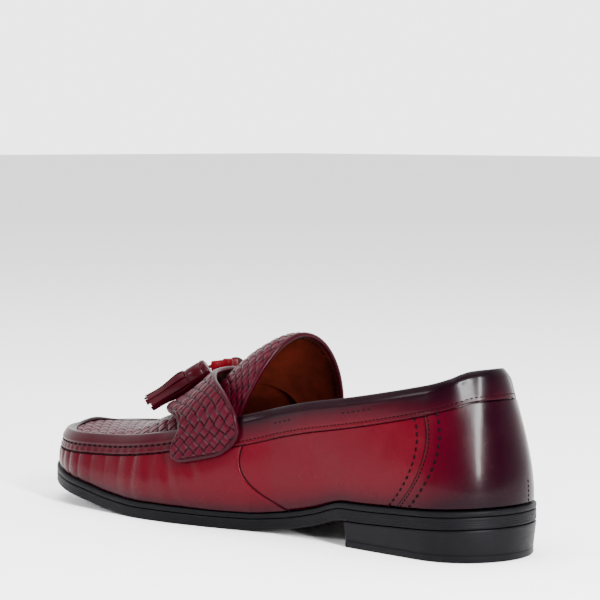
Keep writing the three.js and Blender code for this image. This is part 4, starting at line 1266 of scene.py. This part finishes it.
@dataclass
class Bindings:
    """The collar band folded over the quarters, and the rolled rim round the apron."""

    last: Last
    finishes: Finishes
    stitches: StitchTree
    upper: UpperShell
    collar_leather: float = 1.1
    collar_inside: float = 9.0
    rim_leather: float = 1.2
    rim_roll: float = 3.4
    round: float = 1.2
    skive: float = 0.3
    crown: float = 1.3
    swell: float = 0.22
    collar_stations: int = 420
    rim_stations: int = 520
    row_stations: int = 300
    slits: tuple[tuple[float, float], ...] = ((119.0, 110.0), (77.0, 62.0))
    slit_below: float = 5.1

    def face(self) -> float:
        """How far out of the wall the bands' inner side lies."""
        return self.last.clearance - self.upper.band_sink

    def crest(self, turn: Array, leather: float) -> Array:
        """The top of the fold."""
        last = self.last
        top = last.wall_out(turn, 1.0, -(last.wall + self.upper.band_sink) / 2)
        return top + np.array([0, 0, last.clearance + leather * self.crown])

    def collar(self) -> bpy.types.Object:
        """The collar band, from one ear round the heel to the other."""
        last, reach = self.last, float(self.last.turn_at(self.upper.collar_end))
        turn = np.linspace(-reach, reach, self.collar_stations)
        face, leather, depth = self.face(), self.collar_leather, self.upper.collar_depth
        behind = -last.wall - last.clearance
        # Lines of the outer face: how far below the edge, and how far out of its plain face
        outer = ((depth + 0.05, -0.75), (depth, -0.25), (depth - 0.5, -0.02), (depth - 1.6, -0.06),
                 (depth - 3.2, self.swell * 0.5), (depth * 0.5, self.swell),
                 (depth * 0.3, self.swell * 0.8), (self.round, 0.0))
        inner = (self.round, 4.0, self.collar_inside)
        shown = np.stack(
            [last.below_edge(turn, below, face + leather + more) for below, more in outer]
            + [self.crest(turn, leather)]
            + [last.below_edge(turn, below, behind - leather) for below in inner], 1)
        lift = np.array([0, 0, last.clearance])
        hidden = np.stack([
            last.below_edge(turn, self.collar_inside, behind),
            last.wall_out(turn, 1.0, behind) + lift, last.wall_out(turn, 1.0, face) + lift,
            last.below_edge(turn, depth, face)], 1)
        visible = through(shown, 4)
        net = np.concatenate([visible, hidden], 1)
        share = np.abs(net[..., 1]) / last.length
        level = np.concatenate([np.linspace(0, 1, visible.shape[1] - 8), np.ones(12)])[None] + 0 * share
        form = Form()
        form.tube(net, np.stack([share, level], -1))
        return keep(form.build("collar_binding", last, [self.finishes.band]), "binding_leather",
                    "collar_band")

    def rim(self) -> bpy.types.Object:
        """The rolled rim, pleated a little where it turns round the toe."""
        last, start = self.last, float(self.last.turn_at(self.upper.rim_end))
        turn = np.linspace(start, 2 - start, self.rim_stations)
        flat = last.wall_normal(turn, np.ones_like(turn)) * np.array([1, 1, 0])
        inward = -unit(flat)
        held = last.wall + last.clearance
        face, leather = self.face(), self.rim_leather

        def over(distance: Array | float, lift: float) -> Array:
            """A line so far inside the top edge, over the apron."""
            point = last.wall_point(turn, 1.0) + inward * np.asarray(distance)[..., None]
            height = last.plug_top(point[:, 0], -point[:, 1]) + 0.9 + lift
            return np.concatenate([point[:, :2], height[:, None]], -1)

        slope = over(held + 1, 0)[:, 2] - over(held, 0)[:, 2]
        roll = self.rim_roll / np.hypot(1, slope)
        depth = self.upper.rim_depth
        arc = np.abs(last.wrap(turn)) * last.length * ARC_SHARE
        gather = 0.10 * np.cos(2 * np.pi * arc / (self.upper.pleat_pitch / 2))

        def out(below: float, more: float | Array) -> Array:
            """A line so far below the top edge, on the rim's outer face."""
            return last.below_edge(turn, below, face + leather + more)

        shown = np.stack([
            out(depth, -0.9), out(depth * 0.98, -0.3), out(depth * 0.86, 0.18 + gather),
            out(depth * 0.62, -0.12 + gather * 0.4), out(depth * 0.53, -0.42), out(depth * 0.44, -0.05),
            out(depth * 0.26, 0.42), self.crest(turn, leather) + inward * -0.5,
            self.crest(turn, leather) + inward * 0.9,
            over(held + roll * 0.35, leather * 1.4), over(held + roll, leather * 0.62),
            over(held + roll * 1.06, 0.05)], 1)
        hidden = np.stack([over(held + roll * 0.4, 0.45), over(held, 0.3),
                           last.below_edge(turn, depth, face)], 1)
        visible = through(shown, 4)
        net = np.concatenate([visible, hidden], 1)
        share = 0.62 + 0 * net[..., 1]
        level = np.concatenate([np.linspace(0, 1, visible.shape[1]), np.ones(3)])[None] * 0.8 + 0 * share
        form = Form()
        form.tube(net, np.stack([share, level], -1))
        return keep(form.build("apron_rolled_rim", last, [self.finishes.band]), "binding_leather",
                    "apron_rim")

    def sew(self) -> None:
        """Stitches along both bands, and the collar's small slits."""
        last, upper, thread = self.last, self.upper, self.finishes.thread
        collar, rim = self.face() + self.collar_leather, self.face() + self.rim_leather
        reach, start = (float(last.turn_at(end)) for end in (upper.collar_end, upper.rim_end))
        heel, toe = (np.linspace(*ends, self.row_stations) for ends in ((-reach, reach), (start, 2 - start)))
        marks = [last.below_edge(side * last.turn_at(np.linspace(front, rear, 12) / last.length),
                                 self.slit_below, collar) for side in (1, -1) for front, rear in self.slits]
        edge, middle, foot = (last.below_edge(turn, below, out) for turn, below, out in (
            (heel, upper.collar_depth - 1.7, collar - 0.02), (toe, upper.rim_depth * 0.53, rim - 0.3),
            (toe, upper.rim_depth + 0.4, rim - 0.4)))
        # Name, lines, finish, then pitch, length and thickness
        rows = (("collar_stitches", [edge], thread, 2.3, 1.7, 0.5),
                ("collar_slits", marks, self.finishes.under, 3.0, 2.1, 0.9),
                ("rim_stitches", [middle], thread, 4.2, 3.2, 1.0),
                ("rim_foot_stitches", [foot], thread, 4.2, 2.6, 0.7))
        for name, lines, finish, *size in rows:
            keep(self.stitches.sew(name, last, lines, finish, *size), "binding_leather")

    def build(self) -> None:
        """Makes the bands and their stitches."""
        self.collar()
        self.rim()
        self.sew()


def cord_along(form: Form, path: Array, normal: Array, wide: float, tall: float, sides: int = 12,
               closed: bool = False) -> None:
    """Adds a rounded strip along a path.

    Args:
        form: the mesh that takes it.
        path: points of its middle line.
        normal: the way up at each point.
        wide: its half width, square to the path and the normal.
        tall: its half height along the normal.
        sides: points round its section.
        closed: whether the path's end joins its start.
    """
    if closed:
        ahead = np.roll(path, -1, 0) - np.roll(path, 1, 0)
    else:
        ahead = np.gradient(path, axis=0)
    ahead = unit(ahead)
    side = unit(np.cross(ahead, normal))
    rise = unit(np.cross(side, ahead))
    angle = 2 * np.pi * np.arange(sides) / sides
    sections = (path[:, None] + side[:, None] * (wide * np.cos(angle))[None, :, None]
                + rise[:, None] * (tall * np.sin(angle))[None, :, None])
    if closed:
        form.grid(sections, around=True, across=True)
    else:
        form.tube(sections)


@dataclass
class Apron:
    """The woven plug inside the rim."""

    last: Last
    finishes: Finishes
    plait: Plait
    crown: float = 0.617
    side: float = 0.572
    flare: float = 1.2
    base: float = 0.1

    def throat(self, x: Array) -> Array:
        """Distance at which the plug meets the tongue, across the foot."""
        share = np.minimum(self.flare * (2 * x / self.last.ball) ** 2, 1)
        return self.last.length * lerp(self.crown, self.side, share)

    def build(self) -> None:
        """Makes the weave and its dark backing."""
        last = self.last
        half, front = last.ball / 2 - 3, float(last.edges[1][0][-1])

        def inside(x: Array, s: Array) -> Array:
            """Whether a place lies within the rim and ahead of the throat."""
            edge = last.wall_point(last.edge_turn(np.where(x < 0, -1, 1), np.clip(s, 0, front)), 1.0)
            room = np.abs(edge[..., 0]) - last.wall - last.clearance - 1.2
            return (np.abs(x) < room) & (s < last.plug_front - 3.0) & (s > self.throat(x) - 1)

        def dome(x: Array, s: Array, drop: float = 0.0) -> Array:
            """Points of the apron's dome, or so far under it."""
            return np.stack([x, -s, last.plug_top(x, s) - drop], -1)

        form = Form()
        extent = (-half, half, self.side * last.length - 8, front)
        self.plait.weave(form, dome, extent, inside, self.base)
        keep(form.build("woven_apron", last, [self.finishes.strip]), "woven_leather", "apron")
        back = Form()
        shares = np.linspace(-0.985, 0.985, 50)[None, :]
        rows = np.linspace(self.side * last.length + 1, last.plug_front - 1.2, 90)[:, None]
        room = [np.abs(last.wall_point(last.edge_turn(np.full(90, way), rows[:, 0]), 1.0)[:, 0])
                - last.wall - last.clearance for way in (-1, 1)]
        x = np.where(shares < 0, room[0][:, None], room[1][:, None]) * shares
        s = np.broadcast_to(rows, x.shape)
        # Its near-black top face is painted shade that shows through the weave's gaps
        back.slab(dome(x, s, 0.9), dome(x, s, 1.5), 1)
        keep(back.build("apron_backing", last, [self.finishes.under, self.finishes.lining]), "woven_leather")


@dataclass
class Tongue:
    """The woven tongue, bound at its free edge and lined in brown."""

    last: Last
    finishes: Finishes
    stitches: StitchTree
    plait: Plait
    apron: Apron
    crown: float = 0.455
    medial: float = 0.515
    lateral: float = 0.480
    power: float = 2.5
    inset_medial: float = 6.8
    inset_lateral: float = 5.2
    tuck: float = 8.0
    ease: float = 2.0
    wall: float = 2.0
    drop: float = 0.9
    edge: float = 1.35

    def surface(self, along: Array, reach: Array, out: float | Array = 0.0) -> Array:
        """Points of the tongue; along runs from 0 at its free edge to 1 at the throat."""
        last = self.last
        side = np.where(reach < 0, self.lateral, self.medial)
        back = last.length * lerp(self.crown, side, np.abs(reach) ** self.power)
        inset = np.where(reach < 0, self.inset_lateral, self.inset_medial)
        x = (last.ball / 2 - inset) * np.sin(reach * np.pi / 2)
        front = self.apron.throat(x) - self.ease
        return last.instep_out(lerp(back, front, along), reach, np.asarray(out) - self.drop, inset, self.tuck)

    def build(self) -> None:
        """Makes weave, lining, binding and stitches."""
        last = self.last
        along, reach = np.linspace(0, 1, 60), np.linspace(-1, 1, 121)
        patch = Patch.sample(self.surface, along, reach)
        form = Form()
        wide, deep = patch.span(False) / 2, patch.span(True)

        def flat(p: Array, q: Array) -> Array:
            """The tongue's surface by distances across and along it."""
            return patch.at(np.clip(q / deep, -0.02, 1.02), np.clip(p / wide, -1, 1))

        self.plait.weave(form, flat, (-wide, wide, 0.0, deep),
                         lambda p, q: (np.abs(p) < wide - 0.3) & (q > 0.3) & (q < deep - 0.3), 0.05)
        keep(form.build("woven_tongue", last, [self.finishes.strip]), "woven_leather", "tongue")
        net = np.meshgrid(np.linspace(0.01, 1, 40), np.linspace(-0.995, 0.995, 100), indexing="ij")
        sheets = [patch.at(net[0], net[1], -depth) for depth in (0.7, self.wall)]
        lining = Form()
        # The upper face is near-black backing, painted shade in the weave's gaps; the lower face is the brown
        # lining
        lining.slab(sheets[0], sheets[1], 1)
        keep(lining.build("tongue_lining", last, [self.finishes.under, self.finishes.lining]),
             "lining_leather")
        bound = Form()
        path = np.concatenate([
            np.stack([np.linspace(1, 0.05, 30), np.full(30, -1.0)], -1),
            np.stack([np.full(160, 0.012), np.linspace(-0.99, 0.99, 160)], -1),
            np.stack([np.linspace(0.05, 1, 30), np.full(30, 1.0)], -1)])
        middle = patch.at(path[:, 0], path[:, 1], -0.45)
        above = patch.at(path[:, 0], path[:, 1], 0.55)
        cord_along(bound, middle, unit(above - middle), 1.3, self.edge)
        keep(bound.build("tongue_binding", last, [self.finishes.plain]), "binding_leather")
        row = patch.at(np.full(120, 0.085), np.linspace(-0.93, 0.93, 120), -self.wall - 0.02)
        keep(self.stitches.sew("tongue_stitches", last, [row], self.finishes.thread, 2.6, 1.8, 0.45),
             "binding_leather")


@dataclass
class SaddleStrap:
    """The woven strap over the instep, piped all round, with an ear on each side."""

    last: Last
    finishes: Finishes
    stitches: StitchTree
    plait: Plait
    lift: float = 1.25
    thickness: float = 2.0
    piping: float = 1.25
    margin: float = 6.0
    stations: int = 240
    rounding: int = 6
    stitch_inset: float = 1.9
    stitch_lift: float = 0.95
    rows: Table = field(default_factory=lambda: Table(
        "reach medial lateral front",
        (0.00, 0.596, 0.596, 0.710),
        (0.30, 0.575, 0.585, 0.695),
        (0.60, 0.535, 0.568, 0.650),
        (0.85, 0.482, 0.532, 0.592),
        (1.00, 0.464, 0.500, 0.598),
        (1.12, 0.462, 0.492, 0.611),
        (1.20, 0.472, 0.498, 0.609),
        (1.26, 0.496, 0.512, 0.588)))

    def edges(self, reach: Array) -> tuple[Array, Array]:
        """Distances of the rear and the front edge at each reach."""
        far = np.abs(reach)
        rear = np.where(reach < 0, self.rows.value("lateral", far), self.rows.value("medial", far))
        return rear * self.last.length, self.rows.value("front", far) * self.last.length

    def weave(self, patch: Patch, top: float) -> None:
        """The woven face, by distances across the foot and along it."""
        reach = patch.a
        middle = patch.at(reach, np.mean(self.edges(reach), 0))
        walked = np.concatenate([[0], np.cumsum(np.linalg.norm(np.diff(middle, axis=0), axis=1))])
        walked -= walked[-1] / 2

        def flat(p: Array, q: Array) -> Array:
            """The strap's surface at a place of the flat sheet."""
            return patch.at(np.interp(p, walked, reach), q)

        def inside(p: Array, s: Array) -> Array:
            """Whether a place lies within the strap's outline."""
            rear, front = self.edges(np.interp(p, walked, reach))
            return (s > rear + 0.7) & (s < front - 0.7) & (np.abs(p) < walked[-1] - 0.8)

        form = Form()
        self.plait.weave(form, flat, (walked[0], walked[-1], patch.b[0], patch.b[-1]), inside, top - 0.1)
        keep(form.build("woven_strap", self.last, [self.finishes.strip]), "woven_leather", "saddle_strap")

    def backing(self, patch: Patch, top: float) -> None:
        """The dark sheet under the weave, lined below."""
        around = np.linspace(patch.a[0], patch.a[-1], self.stations)
        rear, front = self.edges(around)
        share = np.linspace(0, 1, 16)[None]
        net = lerp(rear[:, None] + self.piping, front[:, None] - self.piping, share)
        held = np.clip(around, patch.a[0] + 0.01, patch.a[-1] - 0.01)[:, None] + 0 * net
        form = Form()
        # The near-black top face is painted shade in the weave's gaps; the lower face is lined
        form.slab(patch.at(held, net, top - 0.75), patch.at(held, net, self.lift), 1)
        keep(form.build("strap_backing", self.last, [self.finishes.under, self.finishes.lining]),
             "woven_leather")

    def outline(self, end: float) -> Array:
        """The piping's middle line as reaches and distances, with its corners rounded."""
        around = np.linspace(-end, end, self.stations)
        rear, front = self.edges(around)
        rear, front = rear + self.piping, front - self.piping
        line = np.concatenate([
            np.stack([around, rear], -1),
            np.stack([np.full(14, end), np.linspace(rear[-1], front[-1], 16)[1:-1]], -1),
            np.stack([around[::-1], front[::-1]], -1),
            np.stack([np.full(14, -end), np.linspace(front[0], rear[0], 16)[1:-1]], -1)])
        for _ in range(self.rounding):
            line = (np.roll(line, 1, 0) + 2 * line + np.roll(line, -1, 0)) / 4
        return line

    def trim(self, patch: Patch, top: float) -> None:
        """The piping round the strap, and the stitches that hold it."""
        line = self.outline(patch.a[-1])
        middle = patch.at(line[:, 0], line[:, 1], top - self.piping + 0.35)
        rise = unit(patch.at(line[:, 0], line[:, 1], top + 1) - middle)
        form = Form()
        cord_along(form, middle, rise, self.piping, self.piping + 0.15, closed=True)
        keep(form.build("strap_piping", self.last, [self.finishes.plain]), "binding_leather")
        ahead = unit(np.roll(middle, -1, 0) - np.roll(middle, 1, 0))
        sideways = unit(np.cross(ahead, rise)) * self.stitch_inset
        row = middle + sideways + rise * self.stitch_lift
        # The row lies on the side of the piping from which a point at the rear is
        # closer to a point at the front
        rear, front = self.stations // 2, self.stations + 60
        if np.linalg.norm(row[rear] - middle[front]) > np.linalg.norm(middle[rear] - middle[front]):
            row = middle - sideways + rise * self.stitch_lift
        keep(self.stitches.sew("strap_stitches", self.last, [np.vstack([row, row[:1]])],
                               self.finishes.thread, 2.6, 1.9, 0.5), "woven_leather")

    def build(self) -> None:
        """Makes weave, backing, piping and stitches."""
        last, rows = self.last, self.rows.rows
        top = self.lift + self.thickness
        reach = np.linspace(-rows[-1, 0], rows[-1, 0], 260)
        s = np.arange(rows[:, 1].min() * last.length - self.margin,
                      rows[:, 3].max() * last.length + self.margin, 1.0)
        patch = Patch.sample(lambda a, b: last.instep_out(b, a, 0.0), reach, s)
        self.weave(patch, top)
        self.backing(patch, top)
        self.trim(patch, top)


@dataclass
class Tassels:
    """Two tassels and the knot of flat lace that holds them."""

    last: Last
    finishes: Finishes
    over_strap: float = 3.85
    length: float = 37.0
    cap: float = 13.0
    cap_radius: float = 5.2
    fringe_radius: float = 7.0
    strip: float = 1.3
    strips: int = 8
    flat: float = 0.7
    lace_width: float = 5.0
    lace_leather: float = 1.5
    loop_length: float = 9.0
    loop_height: float = 4.6
    lace_end: float = 1.4
    knot_rise: float = 4.5
    top_rise: float = 6.8
    end_rise: float = 4.7
    # Shares of the sole's length, and reaches over the instep
    knot_at: float = 0.617
    top_at: tuple[float, float] = (0.629, 0.122)
    end_at: tuple[float, float] = (0.706, 0.4)
    # Down the cap: radius and distance, as shares of its own
    cap_profile: tuple[tuple[float, float], ...] = (
        (0.3, 0.02), (0.72, 0.0), (0.92, 0.03), (1.0, 0.11), (1.0, 0.2), (0.93, 0.235), (1.0, 0.27),
        (1.0, 0.80), (0.93, 0.835), (1.0, 0.87), (0.96, 0.95), (0.8, 1.0), (0.62, 1.02))
    seed: int = 7

    def over(self, along: float, reach: float, rise: float) -> Array:
        """A point so far above the strap."""
        return self.last.instep_out(np.array([along * self.last.length]), np.array([reach]),
                                    self.over_strap + rise)[0]

    def line(self, side: int) -> tuple[Array, Array]:
        """Where a tassel hangs, and the way it points."""
        top = self.over(self.top_at[0], side * self.top_at[1], self.top_rise)
        end = self.over(self.end_at[0], side * self.end_at[1], self.end_rise)
        return top, unit(end - top)

    def tassel(self, name: str, side: int, rng: np.random.Generator) -> None:
        """One tassel: a rolled cap with two pressed rings, and a fringe."""
        top, down = self.line(side)
        width = unit(np.cross([0, 0, 1.0], down))
        axes = np.stack([width, np.cross(down, width), down])

        def put(points: Array) -> Array:
            """Lays the tassel's own points on the shoe, flatter towards the fringe."""
            flat = lerp(1.0, self.flat, smooth(points[..., 2], self.cap, 2.2 * self.cap))
            local = points * np.stack([np.ones_like(flat), flat, np.ones_like(flat)], -1)
            return top + local @ axes

        form = Form()
        profile = np.array(self.cap_profile)
        angle = 2 * np.pi * np.arange(40) / 40
        overlap = 1 + 0.05 * (angle / (2 * np.pi))
        ring = np.stack([np.cos(angle), np.sin(angle)], -1)
        body = np.concatenate([
            profile[:, None, :1] * self.cap_radius * (ring * overlap[:, None])[None] * 0.955,
            np.broadcast_to(profile[:, None, 1:] * self.cap, (len(profile), 40, 1))], -1)
        form.tube(put(body))
        core = np.concatenate([
            np.array([0.6, 0.55, 0.5])[:, None, None] * self.cap_radius * ring[None],
            np.broadcast_to(np.array([self.cap, self.cap + 9, self.cap + 17])[:, None, None],
                            (3, 40, 1))], -1)
        form.tube(put(core))
        for layer, count in enumerate((self.strips, self.strips - 3)):
            for k in range(count):
                turn = 2 * np.pi * (k + 0.5 * layer + rng.uniform(-0.12, 0.12)) / count
                reach = self.length - self.cap - rng.uniform(0, 2.6)
                lift = rng.uniform(-1.0, 0.2)
                way = np.linspace(0, 1, 9)
                radius = lerp(self.cap_radius * 0.9, self.fringe_radius - self.strip / 2, way ** 0.5)
                radius = radius * (1 - 0.28 * layer) + lift * way + 0.25 * np.sin(way * 5 + k)
                twist = turn + 0.10 * way * rng.uniform(-1, 1)
                half = lerp(1.8, 2.15, way)
                middle = np.stack([radius * np.cos(twist), radius * np.sin(twist),
                                   self.cap - 1 + reach * way], -1)
                tangent = np.stack([-np.sin(twist), np.cos(twist), 0 * twist], -1)
                outward = np.stack([np.cos(twist), np.sin(twist), 0 * twist], -1)
                # The strip's section: a domed top over a flat underside
                across = np.array([-1, -0.9, 0, 0.9, 1, 0.9, 0, -0.9])
                rise = np.array([0, 0.5, 0.62, 0.5, 0, -0.45, -0.45, -0.45]) * self.strip * 0.8
                sections = (middle[:, None] + tangent[:, None] * (half[:, None] * across[None])[..., None]
                            + outward[:, None] * rise[None, :, None])
                form.tube(put(sections))
        keep(form.build(name + "_fringed", self.last, [self.finishes.tassel]), "tassel_leather", name)

    def knot(self) -> None:
        """The lace: a wrapped middle, two loops and the two ends."""
        middle = self.over(self.knot_at, 0.0, self.knot_rise)
        form = Form()
        angle = 2 * np.pi * np.arange(48) / 48
        for side in (1, -1):
            path = np.stack([self.loop_length / 2 * np.cos(angle) * 0.92,
                             self.loop_height / 2 * np.sin(angle) * 0.78, 0.25 * np.sin(2 * angle)], -1)
            path[:, 0] += side * self.loop_length / 2
            turn = -side * 0.3
            spin = np.array([[math.cos(turn), math.sin(turn), 0], [-math.sin(turn), math.cos(turn), 0],
                             [0, 0, 1]])
            path = path @ spin + middle
            ahead = unit(np.roll(path, -1, 0) - np.roll(path, 1, 0))
            sideways = unit(np.cross(ahead, [0, 0, 1.0]))
            cord_along(form, path, sideways, self.lace_width / 2, self.lace_leather * 0.42, closed=True)
        wrap = 0.62 * self.loop_height
        height = np.linspace(-1, 1, 9)
        ring = np.stack([np.cos(angle), np.sin(angle)], -1)
        size = wrap * (1 - 0.25 * np.abs(height) ** 4)
        level = height[:, None, None] * (self.lace_width / 2 + 0.8)
        body = np.concatenate([size[:, None, None] * ring[None], np.broadcast_to(level, (9, 48, 1))], -1)
        form.tube(body + middle)
        for side in (1, -1):
            top, down = self.line(side)
            tip = top - down * 0.6
            way = np.linspace(0, 1, 14)[:, None]
            path = lerp(middle[None], tip[None], way) + np.array([0, 0, 0.8]) * np.sin(np.pi * way)
            cord_along(form, path, np.broadcast_to([0, 0, 1.0], path.shape), self.lace_end, 0.85)
        keep(form.build("tassel_knot", self.last, [self.finishes.lace]), "tassel_leather", "tassel_lace")

    def build(self) -> None:
        """Makes the tassels, then the knot."""
        rng = np.random.default_rng(self.seed)
        self.tassel("tassel_medial", 1, rng)
        self.tassel("tassel_lateral", -1, rng)
        self.knot()


@dataclass
class Footbed:
    """The lined board inside the shoe."""

    last: Last
    finishes: Finishes
    ease: float = 2.2
    lift: float = 0.9
    thickness: float = 2.4

    def build(self) -> None:
        """Makes the board with a softly rounded edge."""
        last = self.last
        half = (np.arange(200) + 0.5) / 200
        turns = np.concatenate([half, -half[::-1]])
        base = -last.reveal * last.side(turns, "reveal") - last.wall - self.ease

        def ring(more: float, height: float) -> Array:
            """The board's outline drawn in a little more, at a height over its underside."""
            plan = last.plan(turns, base - more)
            floor = last.bed(-plan[:, 1]) + last.foot_ease + last.wall + self.lift
            return np.concatenate([plan, (floor + height)[:, None]], -1)

        top = self.thickness
        rings = np.array([ring(0, 0), ring(0, top - 1), ring(0.2, top - 0.5), ring(0.6, top - 0.15),
                          ring(1.2, top)])
        places = np.zeros((*rings.shape[:2], 2))
        form = Form()
        form.grid(rings, places, across=True)
        form.cross(rings[0], places[0])
        form.cross(rings[-1], places[-1])
        keep(form.build("lined_footbed", last, [self.finishes.lining]), "lining_leather", "insole")


@dataclass
class Studio:
    """The pale floor, the soft lights and the camera."""

    finishes: Finishes
    last: Last
    eye: tuple[float, float, float] = (812.56, 668.23, 191.02)
    yaw: float = 44.796
    pitch: float = 4.053
    roll: float = 0.160
    focal: float = 2358.1
    picture: float = 600.0
    sensor: float = 36.0
    backdrop: float = 3.8
    near_side: float = 0.2
    floor_size: float = 30.0

    def floor(self) -> None:
        """A wide plane under the shoe."""
        bpy.ops.mesh.primitive_plane_add(size=self.floor_size)
        plane = bpy.context.object
        plane.name = "studio_floor"
        plane.data.materials.append(self.finishes.floor)

    def light(self, name: str, place: tuple, aim: tuple, size: tuple, power: float) -> None:
        """A rectangular soft light."""
        data = bpy.data.lights.new(name, "AREA")
        data.shape = "RECTANGLE"
        data.size, data.size_y = size
        data.energy = power
        made = bpy.data.objects.new(name, data)
        made.location = place
        made.rotation_mode = "QUATERNION"
        made.rotation_quaternion = (Vector(aim) - Vector(place)).to_track_quat("-Z", "Y")
        bpy.context.scene.collection.objects.link(made)

    def lights(self) -> None:
        """A large top light, a strip beside the heel and a low front fill."""
        self.light("top_light", (0.1, 0.0, 1.8), (0, 0, 0.05), (1.6, 1.6), 55)
        self.light("heel_strip", (0.35, 1.1, 0.55), (0, 0.12, 0.05), (0.11, 0.8), 62)
        self.light("side_light", (1.3, -0.5, 0.7), (0, -0.02, 0.04), (0.5, 0.4), 16)
        world = bpy.data.worlds.new("studio")
        world.use_nodes = True
        tree = world.node_tree
        tree.nodes.clear()
        way = add_node(tree, "ShaderNodeTexCoord").outputs["Generated"]
        behind = add_node(tree, "ShaderNodeVectorMath", {0: way, 1: (-0.7, -0.7, 0.14)},
                          operation="DOT_PRODUCT")
        strength = add_node(tree, "ShaderNodeMapRange", {
            "Value": behind.outputs["Value"], "From Min": -0.4, "From Max": 0.8,
            "To Min": self.near_side, "To Max": self.backdrop}).outputs[0]
        sky = add_node(tree, "ShaderNodeBackground", {"Color": (0.97, 0.97, 0.98, 1), "Strength": strength})
        add_node(tree, "ShaderNodeOutputWorld", {"Surface": sky.outputs[0]})
        bpy.context.scene.world = world

    def camera(self) -> None:
        """The camera at the picture's place."""
        data = bpy.data.cameras.new("camera")
        data.sensor_width = self.sensor
        data.lens = self.sensor * self.focal / self.picture
        yaw, pitch, roll = (math.radians(v) for v in (self.yaw, self.pitch, self.roll))
        back = Vector((math.cos(pitch) * math.cos(yaw), math.cos(pitch) * math.sin(yaw), math.sin(pitch)))
        level = Vector((-math.sin(yaw), math.cos(yaw), 0))
        rising = back.cross(level)
        right = level * math.cos(roll) + rising * math.sin(roll)
        up = rising * math.cos(roll) - level * math.sin(roll)
        made = bpy.data.objects.new("camera", data)
        turned = Matrix((right, up, back)).transposed()
        made.matrix_world = Matrix.Translation(Vector(self.last.metres(np.array(self.eye)))) @ turned.to_4x4()
        bpy.context.scene.collection.objects.link(made)
        bpy.context.scene.camera = made

    def build(self) -> None:
        """Sets the studio up."""
        self.camera()
        self.floor()
        self.lights()


def main() -> None:
    """Builds the shoe's sub-assemblies in order."""
    logging.basicConfig(level=logging.INFO, format="%(name)s %(message)s")
    last, finishes, stitches = Last(), Finishes(), StitchTree()
    Studio(finishes, last).build()
    Bottom(last, finishes).build()
    Footbed(last, finishes).build()
    upper = UpperShell(last, finishes, stitches)
    upper.build()
    Bindings(last, finishes, stitches, upper).build()
    plait = Plait()
    apron = Apron(last, finishes, plait)
    apron.build()
    Tongue(last, finishes, stitches, plait, apron).build()
    SaddleStrap(last, finishes, stitches, plait).build()
    Tassels(last, finishes).build()


if __name__ == "__main__":
    main()
